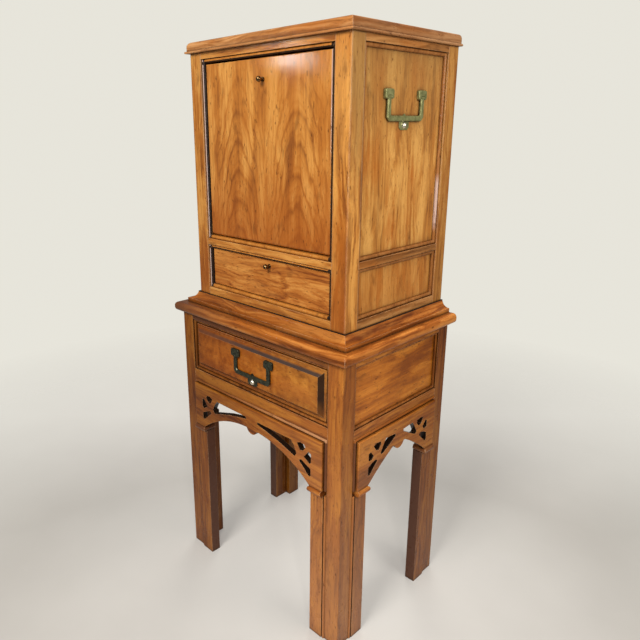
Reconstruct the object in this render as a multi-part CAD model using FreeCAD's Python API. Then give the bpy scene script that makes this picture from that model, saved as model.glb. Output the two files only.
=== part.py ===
"""Drop-front campaign cabinet on a fretted stand.

Millimetres, +Z up, -Y is the front. The origin is on the floor, under the middle of the whole piece.
"""
import FreeCAD, Part
import math
import os

V = FreeCAD.Vector

# Case, without its top
CASE_W = 406.0
CASE_D = 304.0
POST = 33.0
POST_ROUND = 1.5
RAIL_T = 22.0
BOTTOM_RAIL_H = 38.0
SMALL_OPENING_H = 92.0
MID_RAIL_H = 12.5
DROP_OPENING_H = 345.5
TOP_RAIL_H = 12.0
BEAD_W = 7.0
BEAD_SET_BACK = 2.0
PANEL_SET_BACK = 7.0
PANEL_T = 6.0
BACK_T = 8.0
BACK_INSET = 4.0
BOTTOM_T = 12.0
SHELF_T = 12.0
SHELF_ABOVE_FLOOR = 172.0
SHELF_SET_BACK = 42.5
SHELF_GAP = 0.5
SHELF_PIN_R = 3.0
SHELF_PIN_OUT = 10.0
SHELF_PIN_INSET = 25.0

# Case top
LIP_T = 4.0
LIP_OUT = 8.0
LIP_ROUND = 1.6
SLAB_T = 17.0
SLAB_OUT = 4.5
SLAB_ROUND = 9.0

# Stand
SIDE_MARGIN = 25.0
FRONT_MARGIN = 31.0
REAR_SET_IN = 9.0
WING_H = 321.0
WING_W = 37.0
WING_T = 22.0
WING_PROUD = 3.0
EDGE_BEAD_W = 6.0
EDGE_BEAD_PROUD = 2.5
CAPITAL_H = 12.5
CAPITAL_PROUD = 12.0
CAPITAL_OVER = 2.0
CAPITAL_GAP = 0.5
CAPITAL_ROUND = 5.6
APRON_H = 104.5
APRON_T = 12.0
APRON_PROUD = 8.0
APRON_ROUND = 2.0
DRAWER_RAIL_H = 23.0
STAND_OPENING_H = 114.0
STAND_TOP_RAIL_H = 13.0
STAND_SIDE_RAIL_H = 17.0
STAND_SIDE_TOP_RAIL_H = 12.0
STAND_BEAD_W = 5.0
STAND_PANEL_SET_BACK = 6.5
STAND_BACK_T = 10.0
STAND_BACK_INSET = 5.0
STAND_TOP_T = 20.0
NOSE = 13.0
NOSE_ROUND = 8.0

# Moulding that holds the case on the stand
COVE_BASE_W = 20.0
COVE_TOP_W = 3.0
COVE_FOOT_H = 8.0
COVE_H = 23.0
COVE_GAP = 0.5

# Fretwork of the aprons: a point is its distance in from the post and its height over the apron's foot
FRONT_SLOT = ((84, 76), (76, 67), (69, 53), (74, 45), (92, 50.5), (125, 60.5), (156, 67))
FRONT_SLOT_FROM_MIDDLE = 17.0
FRONT_HOLES = (
    ((68, 76), (59, 80), (50, 79), (46, 74), (52, 65.5), (60, 63.5)),
    ((38.5, 68.5), (32, 65.5), (32, 48.5), (36, 45), (50, 53.5)),
    ((63, 41.5), (57, 45.5), (33, 34.5), (32.5, 20.5), (37, 18.5)),
)
SIDE_SLOT = ((87, 78), (80, 69), (71, 53.5), (73.5, 49.5), (79, 50), (97, 59.5))
SIDE_SLOT_FROM_MIDDLE = 13.0
SIDE_HOLES = (
    ((71.5, 70.5), (71, 77), (57, 79), (49, 75.5), (56, 65), (63.5, 62)),
    ((50, 55.5), (41, 67), (34.5, 65), (35, 51.5), (38, 49.5), (45, 49.5)),
    ((62, 41), (57, 45.5), (46, 43), (34.5, 37), (34.5, 20), (39.5, 20)),
)
SLOT_Z = (71.0, 76.0)
FRONT_ARCH_MID = (96.0, 35.5)
SIDE_ARCH_MID = (75.0, 29.5)
ARCH_TOP_FROM_MIDDLE = 20.0
FRONT_ARCH_TOP_Z = 53.5
SIDE_ARCH_TOP_Z = 51.0
PENDANT_HALF_W = 15.0
PENDANT_DROP = 10.5

# Drop front and its fittings
DROP_T = 19.0
DROP_SET_BACK = 5.5
DROP_ROUND = 1.0
DROP_SIDE_GAP = 2.5
DROP_TOP_GAP = 3.0
DROP_BOTTOM_GAP = 1.5
PIVOT_INSET = 6.0
PIVOT_PIN_R = 2.0
PIVOT_RUN = 0.05
PIVOT_PIN_L = 11.0
PIVOT_PIN_TIP = 1.0
PIVOT_PLATE_T = 1.5
PIVOT_PLATE_D = 14.0
PIVOT_PLATE_H = 22.0
PIVOT_PLATE_SET = 1.0
BUSH_R = 3.5
BUSH_SEAT = 0.02
STAY_R = 90.0
STAY_W = 10.0
STAY_T = 3.0
STAY_IN = 9.0
STAY_LUG_W = 16.0
STAY_LUG_DEG = 2.5
STAY_STOP_DEG = 0.5
STAY_PAD_H = 30.0
STAY_PAD_W = 12.0
STAY_PAD_T = 1.5
KEEPER_T = 2.5
KEEPER_GAP = 1.0
KEEPER_BACK = 3.0
KEEPER_H = 26.0
KEEPER_MARGIN = 4.0
FLOOR_SLOT_W = 6.0
CATCH_W = 30.0
CATCH_D = 16.0
CATCH_H = 38.0
CATCH_GAP = 0.3
STRIKE_W = 24.0
STRIKE_H = 12.0
STRIKE_T = 1.5
STRIKE_BELOW_TOP = 2.0

# Small drawer in the case
SMALL_GAP = 1.5
SMALL_SET_BACK = 8.0
SMALL_FRONT_T = 16.0
SMALL_BOX_H = 55.0
SMALL_BOX_END_GAP = 28.0

# Drawer in the stand
BIG_SIDE_GAP = 4.0
BIG_BOTTOM_GAP = 2.0
BIG_TOP_GAP = 4.0
BIG_SET_BACK = 5.6
BIG_FRONT_T = 16.0
BIG_RIM = 5.0
BIG_BEVEL_W = 9.0
BIG_BEVEL_H = 8.0
BIG_BOX_H = 76.0
BIG_BOX_END_GAP = 49.4

# What both drawers share
BOX_T = 10.0
BOX_IN = 4.0
BOX_FLOOR_T = 5.0
BOX_FLOOR_UP = 6.0
BOX_UP = 2.0
RUNNER_H = 12.0
RUNNER_GAP = 0.3

# Knobs
KNOB_R = 5.0
KNOB_STEM_R = 2.4
KNOB_BASE_R = 4.2
KNOB_BASE_T = 1.6
KNOB_STEM_L = 3.5
DROP_KNOB_BELOW_TOP = 35.0
SMALL_KNOB_BELOW_TOP = 12.0
SMALL_KNOB_X = 8.0

# Swing handles
HANDLE_PITCH = 96.0
BOSS_W = 24.0
BOSS_H = 16.0
BOSS_T = 5.2
BOSS_LIFT = 4.5
BOSS_CORNER = 4.0
BOSS_ROUND = 1.6
BOSS_FLOOR_T = 1.0
HANDLE_PIN_R = 1.0
HANDLE_RUN = 0.05
EYE_R = 2.2
EYE_GAP = 0.3
EYE_SIDE_GAP = 0.5
BAIL_W = 9.0
BAIL_T = 3.6
BAIL_DROP = 34.5
BAIL_CORNER = 6.0
BAIL_INNER_CORNER = 2.4
BAIL_BEVEL = 1.4
CENTRE_PLATE_W = 28.0
CENTRE_PLATE_TOP = 26.5
CENTRE_PLATE_BOTTOM = 53.0
CENTRE_SHOULDER = 37.0
CENTRE_PLATE_CORNER = 4.0
STUD_R = 5.8
STUD_H = 4.5
STUD_DROP = 45.4
CASE_HANDLE_BELOW_RAIL = 78.5
DRAWER_HANDLE_BELOW_TOP = 31.5

# Levels and planes that follow from the sizes above
BACK = (CASE_D + FRONT_MARGIN + NOSE) / 2
CASE_FRONT = BACK - CASE_D
CASE_X = CASE_W / 2
CASE_MID_Y = BACK - CASE_D / 2
OPEN_X = CASE_X - POST
STAND_FRONT = CASE_FRONT - FRONT_MARGIN
STAND_REAR = BACK - REAR_SET_IN
STAND_BACK_Y = STAND_REAR - STAND_BACK_INSET - STAND_BACK_T
STAND_X = CASE_X + SIDE_MARGIN
STAND_MID_Y = (STAND_FRONT + STAND_REAR) / 2
STAND_OPEN_X = STAND_X - POST
STAND_OPEN_Y = (STAND_REAR - STAND_FRONT) / 2 - POST
CAPITAL_Z = WING_H
APRON_Z = CAPITAL_Z + CAPITAL_H
STAND_RAIL_Z = APRON_Z + APRON_H
STAND_OPEN_Z = STAND_RAIL_Z + DRAWER_RAIL_H
STAND_OPEN_TOP = STAND_OPEN_Z + STAND_OPENING_H
POST_TOP = STAND_OPEN_TOP + STAND_TOP_RAIL_H
CASE_Z = POST_TOP + STAND_TOP_T
SMALL_Z = CASE_Z + BOTTOM_RAIL_H
MID_RAIL_Z = SMALL_Z + SMALL_OPENING_H
DROP_Z = MID_RAIL_Z + MID_RAIL_H
TOP_RAIL_Z = DROP_Z + DROP_OPENING_H
CASE_TOP = TOP_RAIL_Z + TOP_RAIL_H
CASE_OPEN_Y = CASE_D / 2 - POST
PANEL_IN_X = CASE_X - PANEL_SET_BACK - PANEL_T
BACK_FACE = CASE_D - BACK_INSET - BACK_T
FLOOR_TOP = DROP_Z + BEAD_W
DROP_X = OPEN_X - BEAD_W - DROP_SIDE_GAP
DROP_BOTTOM = DROP_Z + BEAD_W + DROP_BOTTOM_GAP
DROP_TOP = TOP_RAIL_Z - BEAD_W - DROP_TOP_GAP
DROP_BACK = DROP_SET_BACK + DROP_T
PIVOT_D = DROP_SET_BACK + PIVOT_INSET
PIVOT_Z = DROP_BOTTOM + PIVOT_INSET
STAY_X = DROP_X - STAY_IN
KEEPER_D = DROP_BACK + KEEPER_BACK
STAY_MID_Z = PIVOT_Z + math.sqrt(STAY_R ** 2 - (KEEPER_D + KEEPER_T / 2 - PIVOT_D) ** 2)
FIELD_D = BIG_SET_BACK - BIG_BEVEL_H
SMALL_X = OPEN_X - BEAD_W - SMALL_GAP
SMALL_BOTTOM = SMALL_Z + BEAD_W + SMALL_GAP
SMALL_TOP = MID_RAIL_Z - BEAD_W - SMALL_GAP
SMALL_BOX_X = SMALL_X - BOX_IN
SMALL_BOX_Z = SMALL_BOTTOM + BOX_UP
BIG_X = STAND_OPEN_X - STAND_BEAD_W - BIG_SIDE_GAP
BIG_BOTTOM = STAND_OPEN_Z + STAND_BEAD_W + BIG_BOTTOM_GAP
BIG_TOP = STAND_OPEN_TOP - STAND_BEAD_W - BIG_TOP_GAP
BIG_BOX_X = BIG_X - BOX_IN
BIG_BOX_Z = BIG_BOTTOM + BOX_UP
HANDLE_PIN_D = -(BOSS_FLOOR_T + EYE_GAP + EYE_R)

ORIGIN = V(0, 0, 0)
UP = V(0, 0, 1)
RIGHT = V(1, 0, 0)


def block(x0, x1, y0, y1, z0, z1):
    return Part.makeBox(x1 - x0, y1 - y0, z1 - z0, V(x0, y0, z0))


def prism(corners, along):
    """A straight-sided outline, pushed along a vector."""
    return Part.Face(Part.makePolygon(list(corners) + [corners[0]])).extrude(along)


def upright(outline, d0, d1):
    """An outline of (x, z) points, from depth d0 to depth d1."""
    return prism([V(x, d0, z) for x, z in outline], V(0, d1 - d0, 0))


def rod(start, end, radius):
    return Part.makeCylinder(radius, (end - start).Length, start, end - start)


def turned(profile, centre):
    """A half outline of (radius, height) points with round runs given as middle points, spun about -Y."""
    edges = []
    for run in profile:
        points = [V(radius, 0, height) for radius, height in run]
        if len(points) == 3:
            edges.append(Part.Arc(*points).toShape())
        else:
            edges.append(Part.makeLine(*points))
    solid = Part.Face(Part.Wire(edges)).revolve(ORIGIN, UP, 360)
    return solid.rotated(ORIGIN, RIGHT, 90).translated(centre)


def edges_where(shape, test):
    """The edges whose middle passes the test."""
    found = []
    for edge in shape.Edges:
        if test(edge.CenterOfMass):
            found.append(edge)
    return found


def near(a, b):
    return abs(a - b) < 1e-3


def on_front(shape, face_y):
    """From a face frame, x along and y into the face, to a front face."""
    return shape.translated(V(0, face_y, 0))


def on_right(shape, face_x, centre_y):
    return shape.rotated(ORIGIN, UP, 90).translated(V(face_x, centre_y, 0))


def on_left(shape, face_x, centre_y):
    return on_right(shape, face_x, centre_y).mirror(ORIGIN, RIGHT)


def both_sides(shapes, face_x, centre_y):
    solids = []
    for shape in shapes:
        solids.append(on_right(shape, face_x, centre_y))
        solids.append(on_left(shape, face_x, centre_y))
    return solids


def mirrored_pair(shape):
    """A shape and its twin on the other side of the middle."""
    return [shape, shape.mirror(ORIGIN, RIGHT)]


def bead_section(w, nose, back):
    """Section of a half-round bead of width w: (across, depth) edges from its nose to its back."""
    r = w / 2
    shoulder = nose + r
    round_edge = Part.Arc(V(0, shoulder, 0), V(r, nose, 0), V(w, shoulder, 0)).toShape()
    rest = Part.makePolygon([V(w, shoulder, 0), V(w, back, 0), V(0, back, 0), V(0, shoulder, 0)])
    return Part.Face(Part.Wire([round_edge] + rest.Edges))


def upright_bead(x0, w, nose, back, z0, z1):
    return bead_section(w, nose, back).translated(V(x0, 0, z0)).extrude(V(0, 0, z1 - z0))


def level_bead(z0, w, nose, back, x0, x1):
    section = bead_section(w, nose, back).rotated(ORIGIN, V(0, 1, 0), -90)
    return section.translated(V(x0, 0, z0)).extrude(V(x1 - x0, 0, 0))


def bead_frame(x1, z0, z1, w, nose, back):
    """Four mitred beads inside an opening that is as wide on both sides of the middle."""
    reach = (nose - 1, back + 1)
    sill = level_bead(z0, w, nose, back, -x1, x1)
    sill = sill.common(upright([(-x1, z0), (x1, z0), (x1 - w, z0 + w), (w - x1, z0 + w)], *reach))
    head = level_bead(z1 - w, w, nose, back, -x1, x1)
    head = head.common(upright([(-x1, z1), (x1, z1), (x1 - w, z1 - w), (w - x1, z1 - w)], *reach))
    jamb = upright_bead(x1 - w, w, nose, back, z0, z1)
    jamb = jamb.common(upright([(x1, z0), (x1, z1), (x1 - w, z1 - w), (x1 - w, z0 + w)], *reach))
    return [sill, head] + mirrored_pair(jamb)


def write(node, solids):
    """One STEP file for a node, made of one solid or of several."""
    shape = solids if isinstance(solids, Part.Shape) else Part.makeCompound(solids)
    for solid in shape.Solids:
        assert solid.isValid() and solid.Volume > 0, node
    shape.exportStep(os.path.join("parts", node + ".step"))


def rounded_post(x0, y0, z0, z1, outer_x, outer_y):
    """A square post with its outer corner eased."""
    post = block(x0, x0 + POST, y0, y0 + POST, z0, z1)
    corner = edges_where(post, lambda m: near(m.x, outer_x) and near(m.y, outer_y))
    return post.makeFillet(POST_ROUND, corner)


def four_posts(prefix, half_w, front, rear, z0, z1):
    """Nodes of the posts at the corners of a case or a stand."""
    nodes = {}
    for depth_name, y0, outer_y in (("front", front, front), ("rear", rear - POST, rear)):
        right, left = mirrored_pair(rounded_post(half_w - POST, y0, z0, z1, half_w, outer_y))
        nodes[prefix + "_post_" + depth_name + "_right"] = right
        nodes[prefix + "_post_" + depth_name + "_left"] = left
    return nodes


def case_frame():
    """Posts, rails, panels and beads of the case."""
    nodes = four_posts("case", CASE_X, CASE_FRONT, BACK, CASE_Z, CASE_TOP)
    levels = ((CASE_Z, SMALL_Z), (MID_RAIL_Z, DROP_Z), (TOP_RAIL_Z, CASE_TOP))
    front_rails = []
    side_rails = []
    for z0, z1 in levels:
        front_rails.append(on_front(block(-OPEN_X, OPEN_X, 0, RAIL_T, z0, z1), CASE_FRONT))
        side_rails.append(block(-CASE_OPEN_Y, CASE_OPEN_Y, 0, RAIL_T, z0, z1))
    nodes["case_front_rails"] = front_rails
    nodes["case_side_rails"] = both_sides(side_rails, CASE_X, CASE_MID_Y)

    panels = []
    side_beads = []
    for z0, z1 in ((SMALL_Z, MID_RAIL_Z), (DROP_Z, TOP_RAIL_Z)):
        panels.append(block(-CASE_OPEN_Y, CASE_OPEN_Y, PANEL_SET_BACK, PANEL_SET_BACK + PANEL_T, z0, z1))
        side_beads += bead_frame(CASE_OPEN_Y, z0, z1, BEAD_W, BEAD_SET_BACK, PANEL_SET_BACK)
    nodes["side_panels_right"] = [on_right(panel, CASE_X, CASE_MID_Y) for panel in panels]
    nodes["side_panels_left"] = [on_left(panel, CASE_X, CASE_MID_Y) for panel in panels]
    nodes["case_side_beads"] = both_sides(side_beads, CASE_X, CASE_MID_Y)

    front_beads = bead_frame(OPEN_X, SMALL_Z, MID_RAIL_Z, BEAD_W, BEAD_SET_BACK, RAIL_T)
    front_beads += bead_frame(OPEN_X, DROP_Z, TOP_RAIL_Z, BEAD_W, BEAD_SET_BACK, DROP_BACK)
    nodes["case_front_beads"] = [on_front(bead, CASE_FRONT) for bead in front_beads]
    return nodes


def without_posts(board):
    """A board notched for the case's posts, in the front face frame."""
    for x0 in (OPEN_X, -CASE_X):
        for d0 in (0, CASE_D - POST):
            board = board.cut(block(x0, x0 + POST, d0, d0 + POST, CASE_Z, CASE_TOP))
    return board


def case_boards():
    """Back, bottom, compartment floor, shelf with its pins, and drawer runners."""
    back = block(-OPEN_X, OPEN_X, BACK_FACE, BACK_FACE + BACK_T, CASE_Z, CASE_TOP)
    inner_x = CASE_X - RAIL_T
    bottom = without_posts(block(-inner_x, inner_x, RAIL_T, BACK_FACE, CASE_Z, CASE_Z + BOTTOM_T))
    floor = without_posts(block(-PANEL_IN_X, PANEL_IN_X, DROP_BACK, BACK_FACE, DROP_Z, FLOOR_TOP))
    slot_d = PIVOT_D + STAY_R - STAY_LUG_W / 2 - KEEPER_MARGIN
    slot_end = PIVOT_D + STAY_R + STAY_LUG_W / 2 + KEEPER_GAP
    slot_x = STAY_X - FLOOR_SLOT_W / 2
    for slot in mirrored_pair(block(slot_x, slot_x + FLOOR_SLOT_W, slot_d, slot_end, DROP_Z, FLOOR_TOP)):
        floor = floor.cut(slot)

    shelf_z = FLOOR_TOP + SHELF_ABOVE_FLOOR
    shelf_d = DROP_BACK + SHELF_SET_BACK
    shelf_x = PANEL_IN_X - SHELF_GAP
    shelf = block(-shelf_x, shelf_x, shelf_d, BACK_FACE - SHELF_GAP, shelf_z, shelf_z + SHELF_T)
    post_d = CASE_D - POST - SHELF_GAP
    for notch in mirrored_pair(block(OPEN_X - SHELF_GAP, CASE_X, post_d, CASE_D, shelf_z, shelf_z + SHELF_T)):
        shelf = shelf.cut(notch)
    pins = []
    for d in (shelf_d + SHELF_PIN_INSET, post_d - SHELF_PIN_INSET):
        seat = V(PANEL_IN_X, d, shelf_z - SHELF_PIN_R)
        pins += mirrored_pair(rod(seat, seat - V(SHELF_PIN_OUT, 0, 0), SHELF_PIN_R))

    runner_top = SMALL_BOX_Z - RUNNER_GAP
    runner = block(SMALL_BOX_X - BOX_T, inner_x, POST, CASE_D - POST, runner_top - RUNNER_H, runner_top)
    nodes = {
        "case_back": [back],
        "case_bottom": [bottom],
        "compartment_floor": [floor],
        "shelf": [shelf],
        "shelf_pins": pins,
        "upper_drawer_runners": mirrored_pair(runner),
    }
    return {node: [on_front(solid, CASE_FRONT) for solid in solids] for node, solids in nodes.items()}


def eased_board(half_w, y0, y1, z0, z1, radius, both_edges):
    """A board whose front and end edges are rounded on top, and below too where both_edges is true."""
    board = block(-half_w, half_w, y0, y1, z0, z1)
    levels = (z0, z1) if both_edges else (z1,)

    def outer(m):
        on_edge = near(abs(m.x), half_w) or near(m.y, y0)
        return on_edge and any(near(m.z, z) for z in levels)

    return board.makeFillet(radius, edges_where(board, outer))


def case_top():
    lip_y = CASE_FRONT - LIP_OUT
    lip_top = CASE_TOP + LIP_T
    slab_y = CASE_FRONT - SLAB_OUT
    lip = eased_board(CASE_X + LIP_OUT, lip_y, BACK, CASE_TOP, lip_top, LIP_ROUND, True)
    slab = eased_board(CASE_X + SLAB_OUT, slab_y, BACK, lip_top, lip_top + SLAB_T, SLAB_ROUND, False)
    return {"top_lip": lip, "case_top": slab}


def apron(half, slot, slot_from_middle, holes, arch_mid, arch_top_z):
    """A fretted apron between two posts that stand half a span from the middle, its foot at z 0."""
    body = half - EDGE_BEAD_W
    top = APRON_H - EDGE_BEAD_W
    front = -APRON_PROUD

    def at(x, z):
        return V(x, front, z)

    foot = half - WING_W
    mid_x = half - arch_mid[0]
    arch_x = ARCH_TOP_FROM_MIDDLE
    tip = arch_top_z - PENDANT_DROP
    ends = [at(foot, 0), at(body, 0), at(body, top), at(-body, top), at(-body, 0), at(-foot, 0)]
    edges = Part.makePolygon(ends).Edges
    edges.append(Part.Arc(at(-foot, 0), at(-mid_x, arch_mid[1]), at(-arch_x, arch_top_z)).toShape())
    edges.append(Part.makeLine(at(-arch_x, arch_top_z), at(-PENDANT_HALF_W, arch_top_z)))
    pendant = (at(-PENDANT_HALF_W, arch_top_z), at(0, tip), at(PENDANT_HALF_W, arch_top_z))
    edges.append(Part.Arc(*pendant).toShape())
    edges.append(Part.makeLine(at(PENDANT_HALF_W, arch_top_z), at(arch_x, arch_top_z)))
    edges.append(Part.Arc(at(arch_x, arch_top_z), at(mid_x, arch_mid[1]), at(foot, 0)).toShape())
    board = Part.Face(Part.Wire(edges)).extrude(V(0, APRON_T, 0))
    rim = edges_where(board, lambda m: near(m.y, front) and (near(m.z, top) or near(abs(m.x), body)))
    board = board.makeFillet(APRON_ROUND, rim)

    low_z, high_z = SLOT_Z
    outlines = [[(slot_from_middle, low_z), (slot_from_middle, high_z)] + [(half - a, z) for a, z in slot]]
    outlines += [[(half - a, z) for a, z in hole] for hole in holes]
    for outline in outlines:
        for cutter in mirrored_pair(upright(outline, front - 1, front + APRON_T + 1)):
            board = board.cut(cutter)
    return board.translated(V(0, 0, APRON_Z))


def capital(half):
    """The rounded block over a leg wing, on the right-hand side of a face."""
    x0 = half - WING_W - CAPITAL_OVER
    x1 = half - EDGE_BEAD_W - CAPITAL_GAP
    cap = block(x0, x1, -CAPITAL_PROUD, WING_T - WING_PROUD, CAPITAL_Z, APRON_Z)

    def outer(m):
        level = near(m.z, CAPITAL_Z) or near(m.z, APRON_Z)
        return level and (near(m.y, -CAPITAL_PROUD) or near(m.x, x0))

    nose = edges_where(cap, outer)
    return cap.makeFillet(CAPITAL_ROUND, nose)


def edge_beads(half):
    """The beads beside the posts and along the top of an apron."""
    nose = -EDGE_BEAD_PROUD
    back = WING_T - WING_PROUD
    w = EDGE_BEAD_W
    top = APRON_Z + APRON_H
    beads = mirrored_pair(upright_bead(half - w, w, nose, back, 0, WING_H))
    corner = [(half, APRON_Z), (half, top), (half - w, top - w), (half - w, APRON_Z)]
    jamb = upright_bead(half - w, w, nose, back, APRON_Z, top).common(upright(corner, nose - 1, back + 1))
    head = level_bead(top - w, w, nose, back, -half, half)
    ends = [(-half, top), (half, top), (half - w, top - w), (w - half, top - w)]
    return beads + mirrored_pair(jamb) + [head.common(upright(ends, nose - 1, back + 1))]


def stand_face(half):
    """Wings, capitals and edge beads of one face of the stand."""
    wing = block(half - WING_W, half - EDGE_BEAD_W, -WING_PROUD, WING_T - WING_PROUD, 0, WING_H)
    return mirrored_pair(wing), mirrored_pair(capital(half)), edge_beads(half)


def stand_legs():
    """Posts, wings, capitals, aprons and their beads."""
    nodes = four_posts("stand", STAND_X, STAND_FRONT, STAND_REAR, 0, POST_TOP)
    wings, capitals, beads = stand_face(STAND_OPEN_X)
    side_wings, side_capitals, side_beads = stand_face(STAND_OPEN_Y)
    place = (STAND_X, STAND_MID_Y)
    nodes["front_leg_wings"] = [on_front(wing, STAND_FRONT) for wing in wings]
    nodes["side_leg_wings"] = both_sides(side_wings, *place)
    front_capitals = [on_front(cap, STAND_FRONT) for cap in capitals]
    nodes["leg_capitals"] = front_capitals + both_sides(side_capitals, *place)
    front_beads = [on_front(bead, STAND_FRONT) for bead in beads]
    nodes["leg_and_apron_beads"] = front_beads + both_sides(side_beads, *place)

    front_slot = (FRONT_SLOT, FRONT_SLOT_FROM_MIDDLE)
    side_slot = (SIDE_SLOT, SIDE_SLOT_FROM_MIDDLE)
    front = apron(STAND_OPEN_X, *front_slot, FRONT_HOLES, FRONT_ARCH_MID, FRONT_ARCH_TOP_Z)
    side = apron(STAND_OPEN_Y, *side_slot, SIDE_HOLES, SIDE_ARCH_MID, SIDE_ARCH_TOP_Z)
    nodes["fret_apron_front"] = on_front(front, STAND_FRONT)
    nodes["fret_apron_right"] = on_right(side, *place)
    nodes["fret_apron_left"] = on_left(side, *place)
    return nodes


def stand_frieze():
    """Rails, panels, beads and drawer runners between the aprons and the stand's top."""
    front_rails = []
    for z0, z1 in ((STAND_RAIL_Z, STAND_OPEN_Z), (STAND_OPEN_TOP, POST_TOP)):
        front_rails.append(on_front(block(-STAND_OPEN_X, STAND_OPEN_X, 0, RAIL_T, z0, z1), STAND_FRONT))
    panel_z = STAND_RAIL_Z + STAND_SIDE_RAIL_H
    panel_top = POST_TOP - STAND_SIDE_TOP_RAIL_H
    side_rails = []
    for z0, z1 in ((STAND_RAIL_Z, panel_z), (panel_top, POST_TOP)):
        side_rails.append(block(-STAND_OPEN_Y, STAND_OPEN_Y, 0, RAIL_T, z0, z1))
    set_back = STAND_PANEL_SET_BACK
    panel = block(-STAND_OPEN_Y, STAND_OPEN_Y, set_back, set_back + PANEL_T, panel_z, panel_top)

    front_beads = bead_frame(STAND_OPEN_X, STAND_OPEN_Z, STAND_OPEN_TOP, STAND_BEAD_W, BEAD_SET_BACK, RAIL_T)
    side_beads = bead_frame(STAND_OPEN_Y, panel_z, panel_top, STAND_BEAD_W, BEAD_SET_BACK, set_back)
    place = (STAND_X, STAND_MID_Y)
    beads = [on_front(bead, STAND_FRONT) for bead in front_beads] + both_sides(side_beads, *place)

    back_end = STAND_BACK_Y + STAND_BACK_T
    back = block(-STAND_OPEN_X, STAND_OPEN_X, STAND_BACK_Y, back_end, STAND_RAIL_Z, POST_TOP)
    runner_top = BIG_BOX_Z - RUNNER_GAP
    runner_ends = (STAND_FRONT + POST, STAND_REAR - POST)
    runner = block(BIG_BOX_X - BOX_T, STAND_X - RAIL_T, *runner_ends, runner_top - RUNNER_H, runner_top)
    return {
        "stand_front_rails": front_rails,
        "stand_side_rails": both_sides(side_rails, *place),
        "stand_side_panels": both_sides([panel], *place),
        "stand_beads": beads,
        "stand_back_panel": back,
        "stand_drawer_runners": mirrored_pair(runner),
    }


def stand_top():
    return eased_board(STAND_X + NOSE, STAND_FRONT - NOSE, BACK, POST_TOP, CASE_Z, NOSE_ROUND, True)


def cove_section():
    """Section of the retaining moulding: x out from the case, z up from the stand's top."""
    mid_x = COVE_BASE_W - (COVE_BASE_W - COVE_TOP_W) * math.sqrt(0.5)
    mid_z = COVE_H - (COVE_H - COVE_FOOT_H) * math.sqrt(0.5)
    foot = V(COVE_BASE_W, 0, COVE_FOOT_H)
    crest = V(COVE_TOP_W, 0, COVE_H)
    hollow = Part.Arc(foot, V(mid_x, 0, mid_z), crest).toShape()
    rest = Part.makePolygon([crest, V(0, 0, COVE_H), V(0, 0, 0), V(COVE_BASE_W, 0, 0), foot])
    return Part.Face(Part.Wire([hollow] + rest.Edges))


def retaining_moulding():
    """Front and side strips, mitred at the front corners."""
    inner_x = CASE_X + COVE_GAP
    outer_x = inner_x + COVE_BASE_W
    inner_y = CASE_FRONT - COVE_GAP
    outer_y = inner_y - COVE_BASE_W
    side = cove_section().translated(V(inner_x, outer_y, CASE_Z)).extrude(V(0, BACK - outer_y, 0))
    side_plan = [(inner_x, inner_y), (outer_x, outer_y), (outer_x, BACK), (inner_x, BACK)]
    front = cove_section().rotated(ORIGIN, UP, -90).translated(V(-outer_x, inner_y, CASE_Z))
    front = front.extrude(V(2 * outer_x, 0, 0))
    front_plan = [(-inner_x, inner_y), (inner_x, inner_y), (outer_x, outer_y), (-outer_x, outer_y)]
    side = side.common(prism([V(x, y, CASE_Z) for x, y in side_plan], V(0, 0, COVE_H)))
    front = front.common(prism([V(x, y, CASE_Z) for x, y in front_plan], V(0, 0, COVE_H)))
    return [front] + mirrored_pair(side)


def arc_strip(r0, r1, start_deg, end_deg, x0, x1):
    """Part of a ring about the drop front's axis. Angles run from straight back, upwards."""
    def at(radius, degrees):
        angle = math.radians(degrees)
        return V(x0, PIVOT_D + radius * math.cos(angle), PIVOT_Z + radius * math.sin(angle))

    mid = (start_deg + end_deg) / 2
    edges = [
        Part.Arc(at(r1, start_deg), at(r1, mid), at(r1, end_deg)).toShape(),
        Part.makeLine(at(r1, end_deg), at(r0, end_deg)),
        Part.Arc(at(r0, end_deg), at(r0, mid), at(r0, start_deg)).toShape(),
        Part.makeLine(at(r0, start_deg), at(r1, start_deg)),
    ]
    return Part.Face(Part.Wire(edges)).extrude(V(x1 - x0, 0, 0))


def quadrant_stay():
    """A brass quarter ring on the back of the drop front, with a stop lug at its tail."""
    x0 = STAY_X - STAY_T / 2
    x1 = STAY_X + STAY_T / 2
    lug_r = STAY_R - STAY_LUG_W / 2
    keeper_deg = math.degrees(math.acos((KEEPER_D + KEEPER_T - PIVOT_D) / lug_r))
    lug_deg = keeper_deg - STAY_STOP_DEG - 90
    ring = arc_strip(STAY_R - STAY_W / 2, STAY_R + STAY_W / 2, lug_deg, 90, x0, x1)
    lug = arc_strip(lug_r, lug_r + STAY_LUG_W, lug_deg - STAY_LUG_DEG, lug_deg, x0, x1)
    pad_x = STAY_X - STAY_PAD_W / 2
    pad_z = STAY_MID_Z - STAY_PAD_H / 2
    pad = block(pad_x, pad_x + STAY_PAD_W, DROP_BACK, DROP_BACK + STAY_PAD_T, pad_z, pad_z + STAY_PAD_H)
    door_side = block(x0 - 1, x1 + 1, 0, DROP_BACK, PIVOT_Z, DROP_TOP)
    return ring.fuse(lug).cut(door_side).fuse(pad).removeSplitter()


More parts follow.
